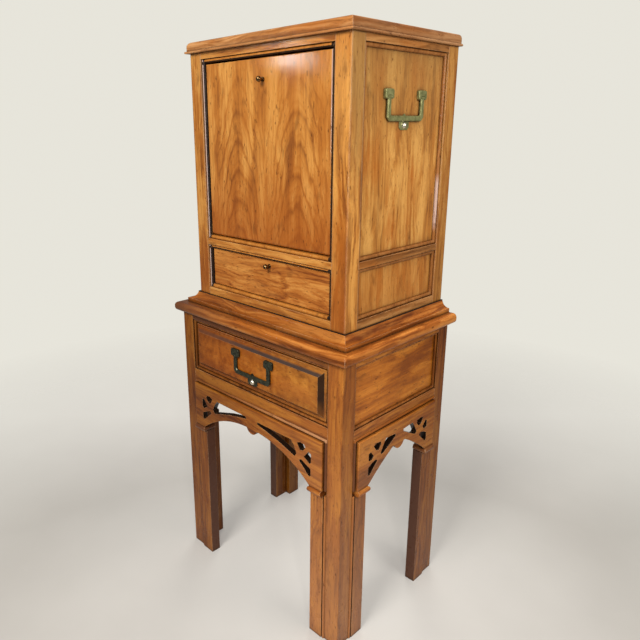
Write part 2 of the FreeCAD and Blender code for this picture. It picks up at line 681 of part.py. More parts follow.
def stay_keeper():
    """A slotted plate on the inside of a front post, for the stay to run through."""
    x0 = STAY_X - STAY_T / 2 - KEEPER_GAP
    plate_x = x0 - KEEPER_MARGIN
    plate_z = STAY_MID_Z - KEEPER_H / 2
    slot_z = STAY_MID_Z - STAY_W / 2 - KEEPER_GAP
    slot_top = slot_z + STAY_W + 2 * KEEPER_GAP
    plate = block(plate_x, OPEN_X, KEEPER_D, KEEPER_D + KEEPER_T, plate_z, plate_z + KEEPER_H)
    return plate.cut(block(x0, x0 + STAY_T + 2 * KEEPER_GAP, KEEPER_D, KEEPER_D + KEEPER_T, slot_z, slot_top))


def drop_front():
    """The drop front with its pivots, stays and catch."""
    door = block(-DROP_X, DROP_X, DROP_SET_BACK, DROP_BACK, DROP_BOTTOM, DROP_TOP)
    heel = edges_where(door, lambda m: near(m.y, DROP_SET_BACK) and near(m.z, DROP_BOTTOM))
    door = door.makeFillet(PIVOT_INSET, heel)
    rim = edges_where(door, lambda m: near(m.y, DROP_SET_BACK) and not near(m.z, PIVOT_Z))
    door = door.makeFillet(DROP_ROUND, rim)
    end = V(DROP_X, PIVOT_D, PIVOT_Z)
    bore_end = end - V(PIVOT_PIN_L, 0, 0)
    for bore in mirrored_pair(rod(end, bore_end, BUSH_R)):
        door = door.cut(bore)
    bush = rod(end, bore_end, BUSH_R - BUSH_SEAT).cut(rod(end, bore_end, PIVOT_PIN_R + PIVOT_RUN))
    bushes = mirrored_pair(bush)

    jamb_x = OPEN_X - BEAD_W
    plate_d = BEAD_SET_BACK + BEAD_W / 2 + PIVOT_PLATE_SET
    plate_end = plate_d + PIVOT_PLATE_D
    plate = block(jamb_x - PIVOT_PLATE_T, jamb_x, plate_d, plate_end, FLOOR_TOP, FLOOR_TOP + PIVOT_PLATE_H)
    pin = rod(V(jamb_x, PIVOT_D, PIVOT_Z), bore_end + V(PIVOT_PIN_TIP, 0, 0), PIVOT_PIN_R)

    strike_top = DROP_TOP - STRIKE_BELOW_TOP
    strike_back = DROP_BACK + STRIKE_T
    strike = block(-STRIKE_W / 2, STRIKE_W / 2, DROP_BACK, strike_back, strike_top - STRIKE_H, strike_top)
    catch_d = strike_back + CATCH_GAP
    catch = block(-CATCH_W / 2, CATCH_W / 2, catch_d, catch_d + CATCH_D, CASE_TOP - CATCH_H, CASE_TOP)
    knob = ball_knob(V(0, DROP_SET_BACK, DROP_TOP - DROP_KNOB_BELOW_TOP))
    nodes = {
        "drop_front_panel": [door],
        "drop_front_bushes": bushes,
        "pivot_pins": mirrored_pair(plate.fuse(pin).removeSplitter()),
        "quadrant_stays": mirrored_pair(quadrant_stay()),
        "stay_keepers": mirrored_pair(stay_keeper()),
        "strike_plate": [strike],
        "magnet_catch": [catch],
        "drop_front_knob": [knob],
    }
    return {node: [on_front(solid, CASE_FRONT) for solid in solids] for node, solids in nodes.items()}


def ball_knob(seat):
    """A ball on a stem and a small collar, standing out of a front face."""
    ball_z = KNOB_BASE_T + KNOB_STEM_L + KNOB_R
    neck_z = ball_z - math.sqrt(KNOB_R ** 2 - KNOB_STEM_R ** 2)
    profile = (
        ((0, 0), (KNOB_BASE_R, 0)),
        ((KNOB_BASE_R, 0), (KNOB_BASE_R, KNOB_BASE_T)),
        ((KNOB_BASE_R, KNOB_BASE_T), (KNOB_STEM_R, KNOB_BASE_T)),
        ((KNOB_STEM_R, KNOB_BASE_T), (KNOB_STEM_R, neck_z)),
        ((KNOB_STEM_R, neck_z), (KNOB_R, ball_z), (0, ball_z + KNOB_R)),
        ((0, ball_z + KNOB_R), (0, 0)),
    )
    return turned(profile, seat)


def drawer_box(half_w, d0, d1, z0, height):
    """Two sides and a back behind a drawer front, and the bottom between them."""
    inner = half_w - BOX_T
    sides = mirrored_pair(block(inner, half_w, d0, d1, z0, z0 + height))
    back = block(-inner, inner, d1 - BOX_T, d1, z0, z0 + height)
    floor_z = z0 + BOX_FLOOR_UP
    bottom = block(-inner, inner, d0, d1 - BOX_T, floor_z, floor_z + BOX_FLOOR_T)
    return sides + [back], [bottom]


def upper_drawer():
    box_d = SMALL_SET_BACK + SMALL_FRONT_T
    front = block(-SMALL_X, SMALL_X, SMALL_SET_BACK, box_d, SMALL_BOTTOM, SMALL_TOP)
    rim = edges_where(front, lambda m: near(m.y, SMALL_SET_BACK))
    box_end = BACK_FACE - SMALL_BOX_END_GAP
    box, bottom = drawer_box(SMALL_BOX_X, box_d, box_end, SMALL_BOX_Z, SMALL_BOX_H)
    knob = ball_knob(V(SMALL_KNOB_X, SMALL_SET_BACK, SMALL_TOP - SMALL_KNOB_BELOW_TOP))
    nodes = {
        "upper_drawer_front": [front.makeFillet(DROP_ROUND, rim)],
        "upper_drawer_box": box,
        "upper_drawer_bottom": bottom,
        "upper_drawer_knob": [knob],
    }
    return {node: [on_front(solid, CASE_FRONT) for solid in solids] for node, solids in nodes.items()}


def raised_field():
    """The bevelled field on the stand's drawer front."""
    outer_x = BIG_X - BIG_RIM
    z0 = BIG_BOTTOM + BIG_RIM
    z1 = BIG_TOP - BIG_RIM

    def ring(inset, d):
        corners = [(-1, z0 + inset), (1, z0 + inset), (1, z1 - inset), (-1, z1 - inset)]
        points = [V(sign * (outer_x - inset), d, z) for sign, z in corners]
        return Part.makePolygon(points + [points[0]])

    return Part.makeLoft([ring(0, BIG_SET_BACK), ring(BIG_BEVEL_W, FIELD_D)], True, True)


def stand_drawer():
    box_d = BIG_SET_BACK + BIG_FRONT_T
    front = block(-BIG_X, BIG_X, BIG_SET_BACK, box_d, BIG_BOTTOM, BIG_TOP).fuse(raised_field())
    box_end = STAND_BACK_Y - STAND_FRONT - BIG_BOX_END_GAP
    box, bottom = drawer_box(BIG_BOX_X, box_d, box_end, BIG_BOX_Z, BIG_BOX_H)
    nodes = {
        "stand_drawer_front": [front.removeSplitter()],
        "stand_drawer_box": box,
        "stand_drawer_bottom": bottom,
    }
    return {node: [on_front(solid, STAND_FRONT) for solid in solids] for node, solids in nodes.items()}


def handle_boss(x):
    """A rounded boss with a slot and a cross pin for one end of the bail."""
    half_w = BOSS_W / 2
    foot = BOSS_LIFT - BOSS_H / 2
    boss = block(x - half_w, x + half_w, -BOSS_T, 0, foot, foot + BOSS_H)
    boss = boss.makeFillet(BOSS_CORNER, edges_where(boss, lambda m: near(m.y, -BOSS_T / 2)))
    boss = boss.makeFillet(BOSS_ROUND, edges_where(boss, lambda m: near(m.y, -BOSS_T)))
    slot_x = BAIL_W / 2 + EYE_SIDE_GAP
    slot = block(x - slot_x, x + slot_x, -BOSS_T, -BOSS_FLOOR_T, foot, EYE_R + EYE_GAP)
    pin = rod(V(x - slot_x - 1, HANDLE_PIN_D, 0), V(x + slot_x + 1, HANDLE_PIN_D, 0), HANDLE_PIN_R)
    return boss.cut(slot).fuse(pin)


def handle_mount():
    """The two bosses and the plate that the bail falls against."""
    half_w = CENTRE_PLATE_W / 2
    cut = CENTRE_PLATE_CORNER
    foot = -CENTRE_PLATE_BOTTOM
    right = [(half_w, -CENTRE_SHOULDER), (half_w, foot + cut), (half_w - cut, foot)]
    left = [(-x, z) for x, z in reversed(right)]
    plate = upright([(0, -CENTRE_PLATE_TOP)] + right + left, -BOSS_FLOOR_T, 0)
    return mirrored_pair(handle_boss(HANDLE_PITCH / 2)) + [plate]


def handle_stud():
    """The domed stud under the bail."""
    seat = V(0, -BOSS_FLOOR_T, -STUD_DROP)
    ball_r = (STUD_R ** 2 + STUD_H ** 2) / (2 * STUD_H)
    half_angle = math.asin(STUD_R / ball_r) / 2
    flank = (ball_r * math.sin(half_angle), STUD_H - ball_r + ball_r * math.cos(half_angle))
    profile = (
        ((0, 0), (STUD_R, 0)),
        ((STUD_R, 0), flank, (0, STUD_H)),
        ((0, STUD_H), (0, 0)),
    )
    return turned(profile, seat)


def handle_bail():
    """The swinging bail, hanging down."""
    outer = (HANDLE_PITCH + BAIL_W) / 2
    inner = outer - BAIL_W
    foot = -BAIL_DROP - BAIL_W / 2
    bar_top = foot + BAIL_W
    right = [
        (inner, 0), (outer, 0), (outer, foot + BAIL_CORNER), (outer - BAIL_CORNER, foot),
    ]
    inside = [(inner - BAIL_INNER_CORNER, bar_top), (inner, bar_top + BAIL_INNER_CORNER)]
    left = [(-x, z) for x, z in reversed(right)]
    inside_left = [(-x, z) for x, z in reversed(inside)]
    front = HANDLE_PIN_D - BAIL_T / 2
    bail = upright(right + left + inside_left + inside, front, front + BAIL_T)
    rim = edges_where(bail, lambda m: near(m.y, front) and not near(m.z, 0))
    bail = bail.makeChamfer(BAIL_BEVEL, rim)
    for x0 in (inner, -outer):
        ends = (V(x0, HANDLE_PIN_D, 0), V(x0 + BAIL_W, HANDLE_PIN_D, 0))
        bail = bail.fuse(rod(*ends, EYE_R)).cut(rod(*ends, HANDLE_PIN_R + HANDLE_RUN))
    return bail


def handles():
    """A handle on each side of the case and one on the stand's drawer."""
    case_up = V(0, 0, TOP_RAIL_Z - CASE_HANDLE_BELOW_RAIL)
    drawer_up = V(0, 0, BIG_TOP - DRAWER_HANDLE_BELOW_TOP)
    case_place = (CASE_X - PANEL_SET_BACK, CASE_MID_Y)
    field_y = STAND_FRONT + FIELD_D
    mount = handle_mount()
    bail = handle_bail()
    stud = handle_stud()
    return {
        "handle_mount_right": [on_right(piece.translated(case_up), *case_place) for piece in mount],
        "handle_mount_left": [on_left(piece.translated(case_up), *case_place) for piece in mount],
        "handle_bail_right": on_right(bail.translated(case_up), *case_place),
        "handle_bail_left": on_left(bail.translated(case_up), *case_place),
        "side_handle_studs": both_sides([stud.translated(case_up)], *case_place),
        "drawer_handle_mount": [on_front(piece.translated(drawer_up), field_y) for piece in mount],
        "drawer_handle_bail": on_front(bail.translated(drawer_up), field_y),
        "drawer_handle_stud": on_front(stud.translated(drawer_up), field_y),
    }


def main():
    os.makedirs("parts", exist_ok=True)
    nodes = {"stand_top": stand_top(), "retaining_moulding": retaining_moulding()}
    for group in (stand_legs, stand_frieze, stand_drawer, case_frame, case_boards, case_top):
        nodes.update(group())
    for group in (drop_front, upper_drawer, handles):
        nodes.update(group())
    for node, solids in nodes.items():
        write(node, solids)


main()
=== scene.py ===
import math

import bpy
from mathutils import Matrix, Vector


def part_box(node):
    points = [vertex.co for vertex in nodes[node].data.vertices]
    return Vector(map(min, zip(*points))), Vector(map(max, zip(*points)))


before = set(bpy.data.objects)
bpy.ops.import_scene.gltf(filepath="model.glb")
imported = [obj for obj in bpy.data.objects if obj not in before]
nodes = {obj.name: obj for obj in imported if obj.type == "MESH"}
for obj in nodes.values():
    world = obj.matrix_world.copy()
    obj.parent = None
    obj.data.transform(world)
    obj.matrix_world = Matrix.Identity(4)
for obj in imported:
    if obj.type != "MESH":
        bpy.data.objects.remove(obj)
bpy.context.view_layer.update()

# Camera, solved from the cabinet's own edges in the photograph
CAMERA_AT = (0.8177, -0.8750, 0.9706)
CAMERA_TURN_DEG = (73.543, 0.421, 45.963)
CAMERA_LENS = 33.54
CAMERA_SHIFT = (0.0628, -0.0263)

# Wood palettes, linear: deep, middle and light tones
CASE_TONES = ((0.240, 0.076, 0.014, 1), (0.470, 0.176, 0.030, 1), (0.650, 0.305, 0.072, 1))
SIDE_TONES = ((0.250, 0.092, 0.018, 1), (0.460, 0.192, 0.038, 1), (0.640, 0.325, 0.085, 1))
TOP_TONES = ((0.220, 0.082, 0.024, 1), (0.440, 0.190, 0.060, 1), (0.640, 0.335, 0.135, 1))
DRAWER_TONES = ((0.190, 0.048, 0.010, 1), (0.420, 0.138, 0.024, 1), (0.600, 0.255, 0.058, 1))
STAND_TONES = ((0.125, 0.027, 0.003, 1), (0.305, 0.084, 0.008, 1), (0.500, 0.180, 0.022, 1))
MOULDING_TONES = ((0.125, 0.030, 0.006, 1), (0.335, 0.098, 0.016, 1), (0.560, 0.215, 0.045, 1))
COVE_TONES = ((0.110, 0.027, 0.005, 1), (0.280, 0.082, 0.014, 1), (0.450, 0.172, 0.036, 1))
STAND_BEAD_TONES = ((0.100, 0.026, 0.004, 1), (0.225, 0.068, 0.010, 1), (0.370, 0.130, 0.024, 1))
FRIEZE_TONES = ((0.220, 0.060, 0.005, 1), (0.400, 0.128, 0.010, 1), (0.560, 0.215, 0.026, 1))
SIDE_RAIL_TONES = ((0.150, 0.055, 0.013, 1), (0.300, 0.120, 0.030, 1), (0.470, 0.220, 0.070, 1))
SIDE_BEAD_TONES = ((0.130, 0.042, 0.010, 1), (0.280, 0.105, 0.026, 1), (0.460, 0.205, 0.060, 1))
PLAIN_DEEP = (0.250, 0.118, 0.040, 1)
PLAIN_LIGHT = (0.420, 0.235, 0.098, 1)

# Colours laid over the wood: glaze and painted shade, pores, wear and painted highlights, stain and painted
# shadow, local tints
# Dark glaze and painted shade in corners, and a wider painted umber shade round them
GLAZE_AND_SHADE = (0.022, 0.008, 0.003, 1)
UMBER_SHADE = (0.140, 0.042, 0.008, 1)
PORE = (0.075, 0.020, 0.004, 1)
# Pale of worn arrises, partly a painted highlight on them
WORN_AND_HIGHLIGHT = (0.800, 0.500, 0.290, 1)
# Black stain on the frets' sawn edges and the right bevel, and painted black shadow in gaps and at the
# cove's joint
STAIN_AND_SHADOW = (0.012, 0.007, 0.005, 1)
# Dark brown of painted shade: under the stand's nosing, at its far left, on capitals, beside aprons, on
# wing ends
LEG_SHADE_BROWN = (0.100, 0.038, 0.020, 1)
# Pale painted sheen low on the stand near its front right corner
PAINTED_SHEEN = (0.560, 0.270, 0.120, 1)
RUSSET = (0.400, 0.118, 0.014, 1)
BRICK = (0.330, 0.090, 0.014, 1)
# Painted olive shade, high on the side panels and the posts' sides
OLIVE_SHADE = (0.300, 0.160, 0.048, 1)
# Painted highlight: a pale lilac sheen on beads and edges
LILAC_HIGHLIGHT = (0.600, 0.440, 0.390, 1)
# Dark glaze with a painted grey reflection of the ceiling, on the stand drawer's top bevel
BEVEL_GLAZE_AND_REFLECTION = (0.046, 0.036, 0.035, 1)
# Painted shade, multiplied onto faces that look along x
SIDE_SHADE = (0.800, 0.800, 0.860, 1)
TOP_SIDE_SHADE = (0.620, 0.590, 0.620, 1)
LEFT_RED = (1.000, 0.780, 0.740, 1)
SIDE_WARM = (1.140, 1.030, 0.980, 1)
FOOT_RED = (0.860, 0.740, 0.680, 1)

# Noise across and along the grain, in waves per metre
BROAD = (34, 3.2)
STREAK = (150, 3.6)
PORES = (900, 26)
DRIFT = (14, 5)
DASHES = (260, 75)
SMUDGES = (75, 26)
PATCHES = (26, 7)

# Noise that bends the figure, in waves per metre along x, y and z
DOOR_WANDER = (24, 1, 10)
SIDE_WANDER = (1, 20, 5)
SMALL_DRAWER_WANDER = (7, 1, 24)
STAND_SIDE_WANDER = (1, 14, 30)

# Noise that is alike in all directions, in waves per metre
WEAR_WAVES = 70
SHEEN_WAVES = 16
BURR_WAVES = 26
FINE_BURR_WAVES = 120
FLOOR_WAVES = 5

# What is added to a seed, so that one layer of noise does not repeat another
DRIFT_SEED = 40
SMUDGE_SEED = 9
PATCH_SEED = 70

# Softened arrises, relief, and the reach of tarnish into corners, in metres
EDGE_SOFT = 0.0015
NOSING_SOFT = 0.003
POST_SOFT = 0.005
METAL_SOFT = 0.0005
GRAIN_RELIEF = 0.0006
PIT_RELIEF = 0.0003
TARNISH_REACH = 0.003

# The wider painted umber shade round a corner's dark glaze and painted shade: its reach and depth as
# multiples of theirs
SHADE_REACH = 5
SHADE_DEPTH = 0.45

# Places and sizes of the figure, the painted highlights and the painted shade and shadows, in metres
SWAY = 0.05
RING_SPACING = 0.011
DOOR_SEAM = 0.006
LEAF_AXIS = 0.077
LEAF_WANDER = 0.045
ARCH_SPACING = 0.054
FINE_ARCH_SPACING = 0.018
FINE_ARCH_SHIFT = 0.008
FLAT_ARCH_SPACING = 0.013
WAVE_SPACING = 0.024
FIELD_INSET = 0.014
BEVEL_WIDTH = 0.009
# Width of the painted shade line where the cove meets the case
COVE_SHADE_LINE = 0.0013
CUT_MARGIN = 0.001
# Height from which the side panels take painted olive shade
SHADE_FROM_Z = 0.80
# Painted highlights: width on the door's right edge, and place on the rear side beads
HIGHLIGHT_EDGE = 0.0016
HIGHLIGHT_FROM_Y = 0.110
HIGHLIGHT_Z = 0.830
# Widths of the painted black shadow beside the gaps of the door and drawer
RIGHT_GAP_SHADOW = 0.0078
LEFT_GAP_SHADOW = 0.0048
DOOR_TOP_GAP_SHADOW = 0.0052
DRAWER_TOP_GAP_SHADOW = 0.0045

# How fast the door's arches fall away from their axis, per metre
ARCH_STEEPNESS = 39.0

# Where the right front stile is lightest, as a share of its height once some of the grain's broad bands
# are added, and the weight of those bands
STILE_GLOW = 0.66
STILE_UNEVEN = 0.8

# Ramps take 0 to 1, so a signed place is shifted by this many metres on its way in
RAMP_SHIFT = 0.5

# Metals: dark and bright patina, smoothest and roughest finish, waves per metre, and metalness
METALS = {
    "aged_brass": ((0.13, 0.135, 0.045, 1), (0.30, 0.30, 0.125, 1), 0.34, 0.5, 110, 0.5),
    "dark_bronze": ((0.015, 0.017, 0.012, 1), (0.075, 0.08, 0.05, 1), 0.3, 0.48, 220, 0.7),
    "knob_brass": ((0.09, 0.045, 0.016, 1), (0.26, 0.16, 0.065, 1), 0.12, 0.22, 240, 1.0),
    "polished_brass": ((0.62, 0.57, 0.44, 1), (0.88, 0.83, 0.72, 1), 0.26, 0.36, 300, 1.0),
    "fitting_brass": ((0.45, 0.30, 0.10, 1), (0.66, 0.48, 0.20, 1), 0.22, 0.36, 200, 1.0),
    "black_housing": ((0.012, 0.012, 0.012, 1), (0.03, 0.03, 0.03, 1), 0.4, 0.55, 400, 0.0),
}
TARNISH = (0.012, 0.011, 0.006, 1)

# The stage: a floor fading into the room, and lamps aimed at the cabinet's middle
FLOOR_HALF = 3.0
FLOOR_DARK = (0.455, 0.442, 0.422, 1)
FLOOR_LIGHT = (0.485, 0.472, 0.452, 1)
ROOM = (0.800, 0.780, 0.705, 1)
ROOM_FILL = 0.18
ROOM_MIRRORED = 0.15
LAMP_COLOUR = (1.00, 0.96, 0.90)
LAMP_AIM = (0, 0, 0.75)

# Lamps: place, width and height in metres, and watts
LAMPS = {
    "front_key": ((0.40, -2.00, 2.25), 0.9, 0.9, 63),
    "side_key": ((1.15, 0.10, 1.25), 0.6, 0.6, 9),
    "small_window": ((-1.42, -1.63, 1.30), 0.15, 0.08, 1.0),
    "tall_window": ((1.35, -1.08, 1.00), 0.10, 0.90, 7),
    "overhead": ((0.10, 0.30, 2.90), 1.6, 1.6, 14),
    "back_fill": ((-1.40, 1.80, 1.90), 1.2, 1.2, 24),
}

# Plan corner where front mouldings turn into side mouldings
post_low, post_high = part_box("case_post_front_right")
CORNER_X = post_high.x
CORNER_Y = post_low.y


class Shader:
    """A material and short ways to add nodes to it."""

    def __init__(self, name):
        self.material = bpy.data.materials.new(name)
        self.material.use_nodes = True
        self.tree = self.material.node_tree
        self.surface = self.tree.nodes["Principled BSDF"]

    def add(self, kind, inputs=(), **settings):
        node = self.tree.nodes.new("ShaderNode" + kind)
        for key, value in settings.items():
            setattr(node, key, value)
        for key, value in dict(inputs).items():
            self.put(node.inputs[key], value)
        return node

    def put(self, socket, value):
        if isinstance(value, bpy.types.NodeSocket):
            self.tree.links.new(value, socket)
        else:
            socket.default_value = value

    def math(self, operation, *values, clamp=False):
        node = self.add("Math", enumerate(values), operation=operation, use_clamp=clamp)
        return node.outputs[0]

    def mix(self, factor, a, b, blend="MIX"):
        node = self.add("Mix", data_type="RGBA", blend_type=blend)
        for key, value in ((0, factor), (6, a), (7, b)):
            self.put(node.inputs[key], value)
        return node.outputs[2]

    def blend_value(self, factor, a, b):
        node = self.add("Mix", data_type="FLOAT")
        for key, value in ((0, factor), (2, a), (3, b)):
            self.put(node.inputs[key], value)
        return node.outputs[0]

    def vector(self, x, y, z):
        return self.add("CombineXYZ", enumerate((x, y, z))).outputs[0]

    def noise(self, vector, scale=1.0, detail=3.0, rough=0.5):
        inputs = {"Vector": vector, "Scale": scale, "Detail": detail, "Roughness": rough}
        return self.add("TexNoise", inputs).outputs["Fac"]

    def ramp(self, factor, *stops):
        """A ramp of (position, level or colour) stops."""
        node = self.add("ValToRGB", {"Fac": factor})
        elements = node.color_ramp.elements
        for index, (position, shade) in enumerate(stops):
            element = elements[index] if index < 2 else elements.new(position)
            element.position = position
            element.color = shade if isinstance(shade, tuple) else (shade, shade, shade, 1)
        return node.outputs["Color"]

    def signed_ramp(self, place, *stops):
        """A ramp of a place within half a metre of zero, with its stops in metres."""
        shifted = self.math("ADD", place, RAMP_SHIFT)
        return self.ramp(shifted, *[(at + RAMP_SHIFT, level) for at, level in stops])

    def place(self):
        """The x, y and z of the surface in the cabinet's frame, in metres."""
        coords = self.add("TexCoord").outputs["Object"]
        return self.add("SeparateXYZ", {0: coords}).outputs

    def fixed(self, **values):
        """Constants, set on the surface's own sockets."""
        for key, value in values.items():
            self.surface.inputs[key.replace("_", " ")].default_value = value


def stretched(s, axes, fine, coarse, seed):
    """A point squeezed along the grain, so that noise on it makes streaks."""
    across_a, across_b, along = axes
    a = s.math("MULTIPLY_ADD", across_a, fine, seed)
    b = s.math("MULTIPLY", across_b, fine)
    return s.vector(a, b, s.math("MULTIPLY", along, coarse))


def grain_axes(s, direction):
    """(across, across, along) for grain along x, y or z, or along mouldings that wrap the corner."""
    x, y, z = s.place()
    if direction == "z":
        return x, y, z
    if direction == "x":
        return z, y, x
    if direction == "y":
        return z, x, y
    side_out = s.math("SUBTRACT", s.math("ABSOLUTE", x), CORNER_X)
    front_out = s.math("SUBTRACT", CORNER_Y, y)
    on_side = s.math("GREATER_THAN", side_out, s.math("MAXIMUM", front_out, 0.0))
    return z, s.blend_value(on_side, y, x), s.blend_value(on_side, x, y)


def swaying(s, axes, seed):
    """The same axes with the grain drifting slowly from side to side."""
    across_a, across_b, along = axes
    drift = s.math("SUBTRACT", s.noise(stretched(s, axes, *DRIFT, seed + DRIFT_SEED), detail=2), 0.5)
    shift = s.math("MULTIPLY", drift, SWAY)
    return s.math("ADD", across_a, shift), s.math("ADD", across_b, shift), along


def grain(s, axes, seed):
    """Broad bands, streaks and fine pores along a swaying grain, each from 0 to 1."""
    axes = swaying(s, axes, seed)
    broad = s.noise(stretched(s, axes, *BROAD, seed), detail=3)
    streak = s.noise(stretched(s, axes, *STREAK, seed), detail=3, rough=0.6)
    pore = s.noise(stretched(s, axes, *PORES, seed), detail=2)
    return broad, streak, pore


def wandering(s, waves, detail=3):
    """An uneven field with its own number of waves along x, y and z."""
    scaled = [s.math("MULTIPLY", along, rate) for along, rate in zip(s.place(), waves)]
    return s.noise(s.vector(*scaled), detail=detail)


def flecks(s, axes, seed):
    """Sparse dark dashes and a few soft smudges along the grain, the marks of a distressed finish."""
    dash = s.noise(stretched(s, axes, *DASHES, seed), detail=2)
    smudge = s.noise(stretched(s, axes, *SMUDGES, seed + SMUDGE_SEED), detail=3)
    dashes = s.ramp(dash, (0.660, 0.0), (0.740, 0.75))
    smudges = s.ramp(smudge, (0.620, 0.0), (0.780, 0.55))
    return s.math("MAXIMUM", dashes, smudges)


def uneven_stain(s, colour, axes, palette, seed, strength=0.6):
    """Long patches where the stain took redder, and others where it stayed light."""
    patch = s.noise(stretched(s, axes, *PATCHES, seed + PATCH_SEED), detail=4, rough=0.58)
    colour = s.mix(s.ramp(patch, (0.48, 0.0), (0.68, strength)), colour, RUSSET)
    return s.mix(s.ramp(patch, (0.32, strength), (0.46, 0.0)), colour, palette[2])


def from_corner(s):
    """The distance in plan from the front right corner, in metres."""
    x, y = s.place()[:2]
    offset = s.vector(s.math("SUBTRACT", x, CORNER_X), s.math("SUBTRACT", y, CORNER_Y), 0.0)
    return s.add("VectorMath", {0: offset}, operation="LENGTH").outputs["Value"]


def paint_corner_light(s, colour):
    """Painted light on the stand: painted shade away from the front right corner, a pale painted sheen low
    down at it.
    """
    away = from_corner(s)
    colour = s.mix(1.0, colour, s.ramp(away, (0.05, 1.0), (0.44, 0.54)), "MULTIPLY")
    near = s.ramp(away, (0.06, 0.38), (0.20, 0.0))
    sheen_near_corner = s.math("MULTIPLY", near, s.ramp(s.place()[2], (0.12, 1.0), (0.46, 0.20)))
    return s.mix(sheen_near_corner, colour, PAINTED_SHEEN)


def average(s, *weighted):
    """The weighted sum of (socket, weight) pairs."""
    total = 0.0
    for socket, weight in weighted:
        total = s.math("MULTIPLY_ADD", socket, weight, total)
    return total


def tones(s, tone, palette):
    """The palette's deep, middle or light colour by the tone, which is 0.5 in the middle."""
    deep, middle, light = palette
    return s.ramp(tone, (0.39, deep), (0.50, middle), (0.61, light))


def calm_tone(s, streak, broad):
    """The tone of a narrow bead, on which the grain hardly shows."""
    return s.math("ADD", average(s, (streak, 0.2), (broad, 0.2)), 0.3)


def corner_shade(s, reach, depth, moves):
    """How much dark glaze and painted shade a corner within reach gets, from 0 to depth."""
    corner = s.add("AmbientOcclusion", {"Distance": reach}, samples=6, only_local=moves)
    return s.ramp(corner.outputs["AO"], (0.40, depth), (0.95, 0.0))


def edge_masks(s, radius):
    """The softened normal, and how near an arris the surface is."""
    soft = s.add("Bevel", {"Radius": radius}, samples=4).outputs[0]
    facing = s.add("VectorMath", operation="DOT_PRODUCT")
    s.put(facing.inputs[0], soft)
    s.put(facing.inputs[1], s.add("NewGeometry").outputs["True Normal"])
    arris = s.ramp(facing.outputs["Value"], (0.80, 1.0), (0.985, 0.0))
    return soft, arris


def lacquered(s, colour, axes, streak, pore, seed, reach=0.006, depth=0.9, moves=False, gloss=(0.22, 0.36),
              easing=EDGE_SOFT, mirror=0.14):
    """Satin lacquer over a stain: glaze and painted shade in corners, worn arrises with a painted
    highlight, grain relief.
    """
    coords = s.add("TexCoord").outputs["Object"]
    soft, arris = edge_masks(s, easing)
    patchy = s.ramp(s.noise(coords, WEAR_WAVES, 3), (0.32, 0.25), (0.70, 0.60))
    colour = s.mix(s.ramp(pore, (0.30, 0.45), (0.42, 0.0)), colour, PORE)
    colour = s.mix(flecks(s, axes, seed), colour, PORE)
    # Arrises paled by wear and by a painted highlight
    colour = s.mix(s.math("MULTIPLY", arris, patchy), colour, WORN_AND_HIGHLIGHT)
    # Painted shade: umber round corners, then dark glaze with painted shade in them
    colour = s.mix(corner_shade(s, SHADE_REACH * reach, SHADE_DEPTH * depth, moves), colour, UMBER_SHADE, "DARKEN")
    colour = s.mix(corner_shade(s, reach, depth, moves), colour, GLAZE_AND_SHADE, "DARKEN")
    height = average(s, (streak, 0.4), (pore, 0.25))
    bump = s.add("Bump", {"Strength": 0.22, "Distance": GRAIN_RELIEF, "Height": height, "Normal": soft})
    sheen = s.ramp(s.noise(coords, SHEEN_WAVES, 3), (0.30, gloss[0]), (0.70, gloss[1]))
    s.put(s.surface.inputs["Base Color"], colour)
    s.put(s.surface.inputs["Normal"], bump.outputs[0])
    s.put(s.surface.inputs["Roughness"], sheen)
    s.fixed(Coat_Weight=0.10, Coat_Roughness=0.12, IOR=1.5, Specular_IOR_Level=mirror)
    return s.material


def solid_wood(name, direction, palette, seed=0.0, dark_faces=None, stain=STAIN_AND_SHADOW, cut_from=None, painted_light=False,
               side_shade=None, streaks=0.46, patches=0.6, **finish):
    """Straight-grained wood, darkened on the faces that look along the dark_faces axes: all of them, or
    only those of openings cut from inside a node's box."""
    s = Shader(name)
    axes = grain_axes(s, direction)
    broad, streak, pore = grain(s, axes, seed)
    flow = s.math("MULTIPLY_ADD", broad, 0.06, axes[0])
    lines = rings(s, s.math("MULTIPLY_ADD", axes[1], 0.8, flow), RING_SPACING)
    colour = tones(s, average(s, (streak, streaks), (broad, 0.90 - streaks), (lines, 0.12)), palette)
    colour = uneven_stain(s, colour, axes, palette, seed, patches)
    # Painted light: shade away from the front right corner, sheen low down at it
    if painted_light:
        colour = paint_corner_light(s, colour)
    # Painted shade on the faces that look along x
    if side_shade:
        colour = s.mix(facing_mask(s, "x"), colour, s.mix(1.0, colour, side_shade, "MULTIPLY"))
    # The darkening colour: black stain on the fret openings, painted shade on the leg wings' inner ends
    if dark_faces:
        mask = facing_mask(s, dark_faces)
        if cut_from:
            mask = s.math("MULTIPLY", mask, inside_mask(s, cut_from, "xy".index(direction)))
        colour = s.mix(mask, colour, stain)
    return lacquered(s, colour, axes, streak, pore, seed, **finish)


def facing_mask(s, axes_named):
    """1 where the surface faces along one of the named axes, else 0."""
    normal = s.add("NewGeometry").outputs["True Normal"]
    parts = s.add("SeparateXYZ", {0: normal}).outputs
    mask = 0.0
    for axis in axes_named:
        steep = s.math("GREATER_THAN", s.math("ABSOLUTE", parts["xyz".index(axis)]), 0.6)
        mask = s.math("MAXIMUM", steep, mask)
    return mask


def inside_mask(s, node, axis):
    """1 inside a node's box seen across an axis, and 0 at its ends and along its top."""
    low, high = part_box(node)
    place = s.place()
    centre = (low[axis] + high[axis]) / 2
    from_centre = s.math("ABSOLUTE", s.math("SUBTRACT", place[axis], centre))
    from_end = s.math("SUBTRACT", high[axis] - centre, from_centre)
    from_edge = s.math("MINIMUM", from_end, s.math("SUBTRACT", high.z, place[2]))
    return s.math("GREATER_THAN", from_edge, CUT_MARGIN)


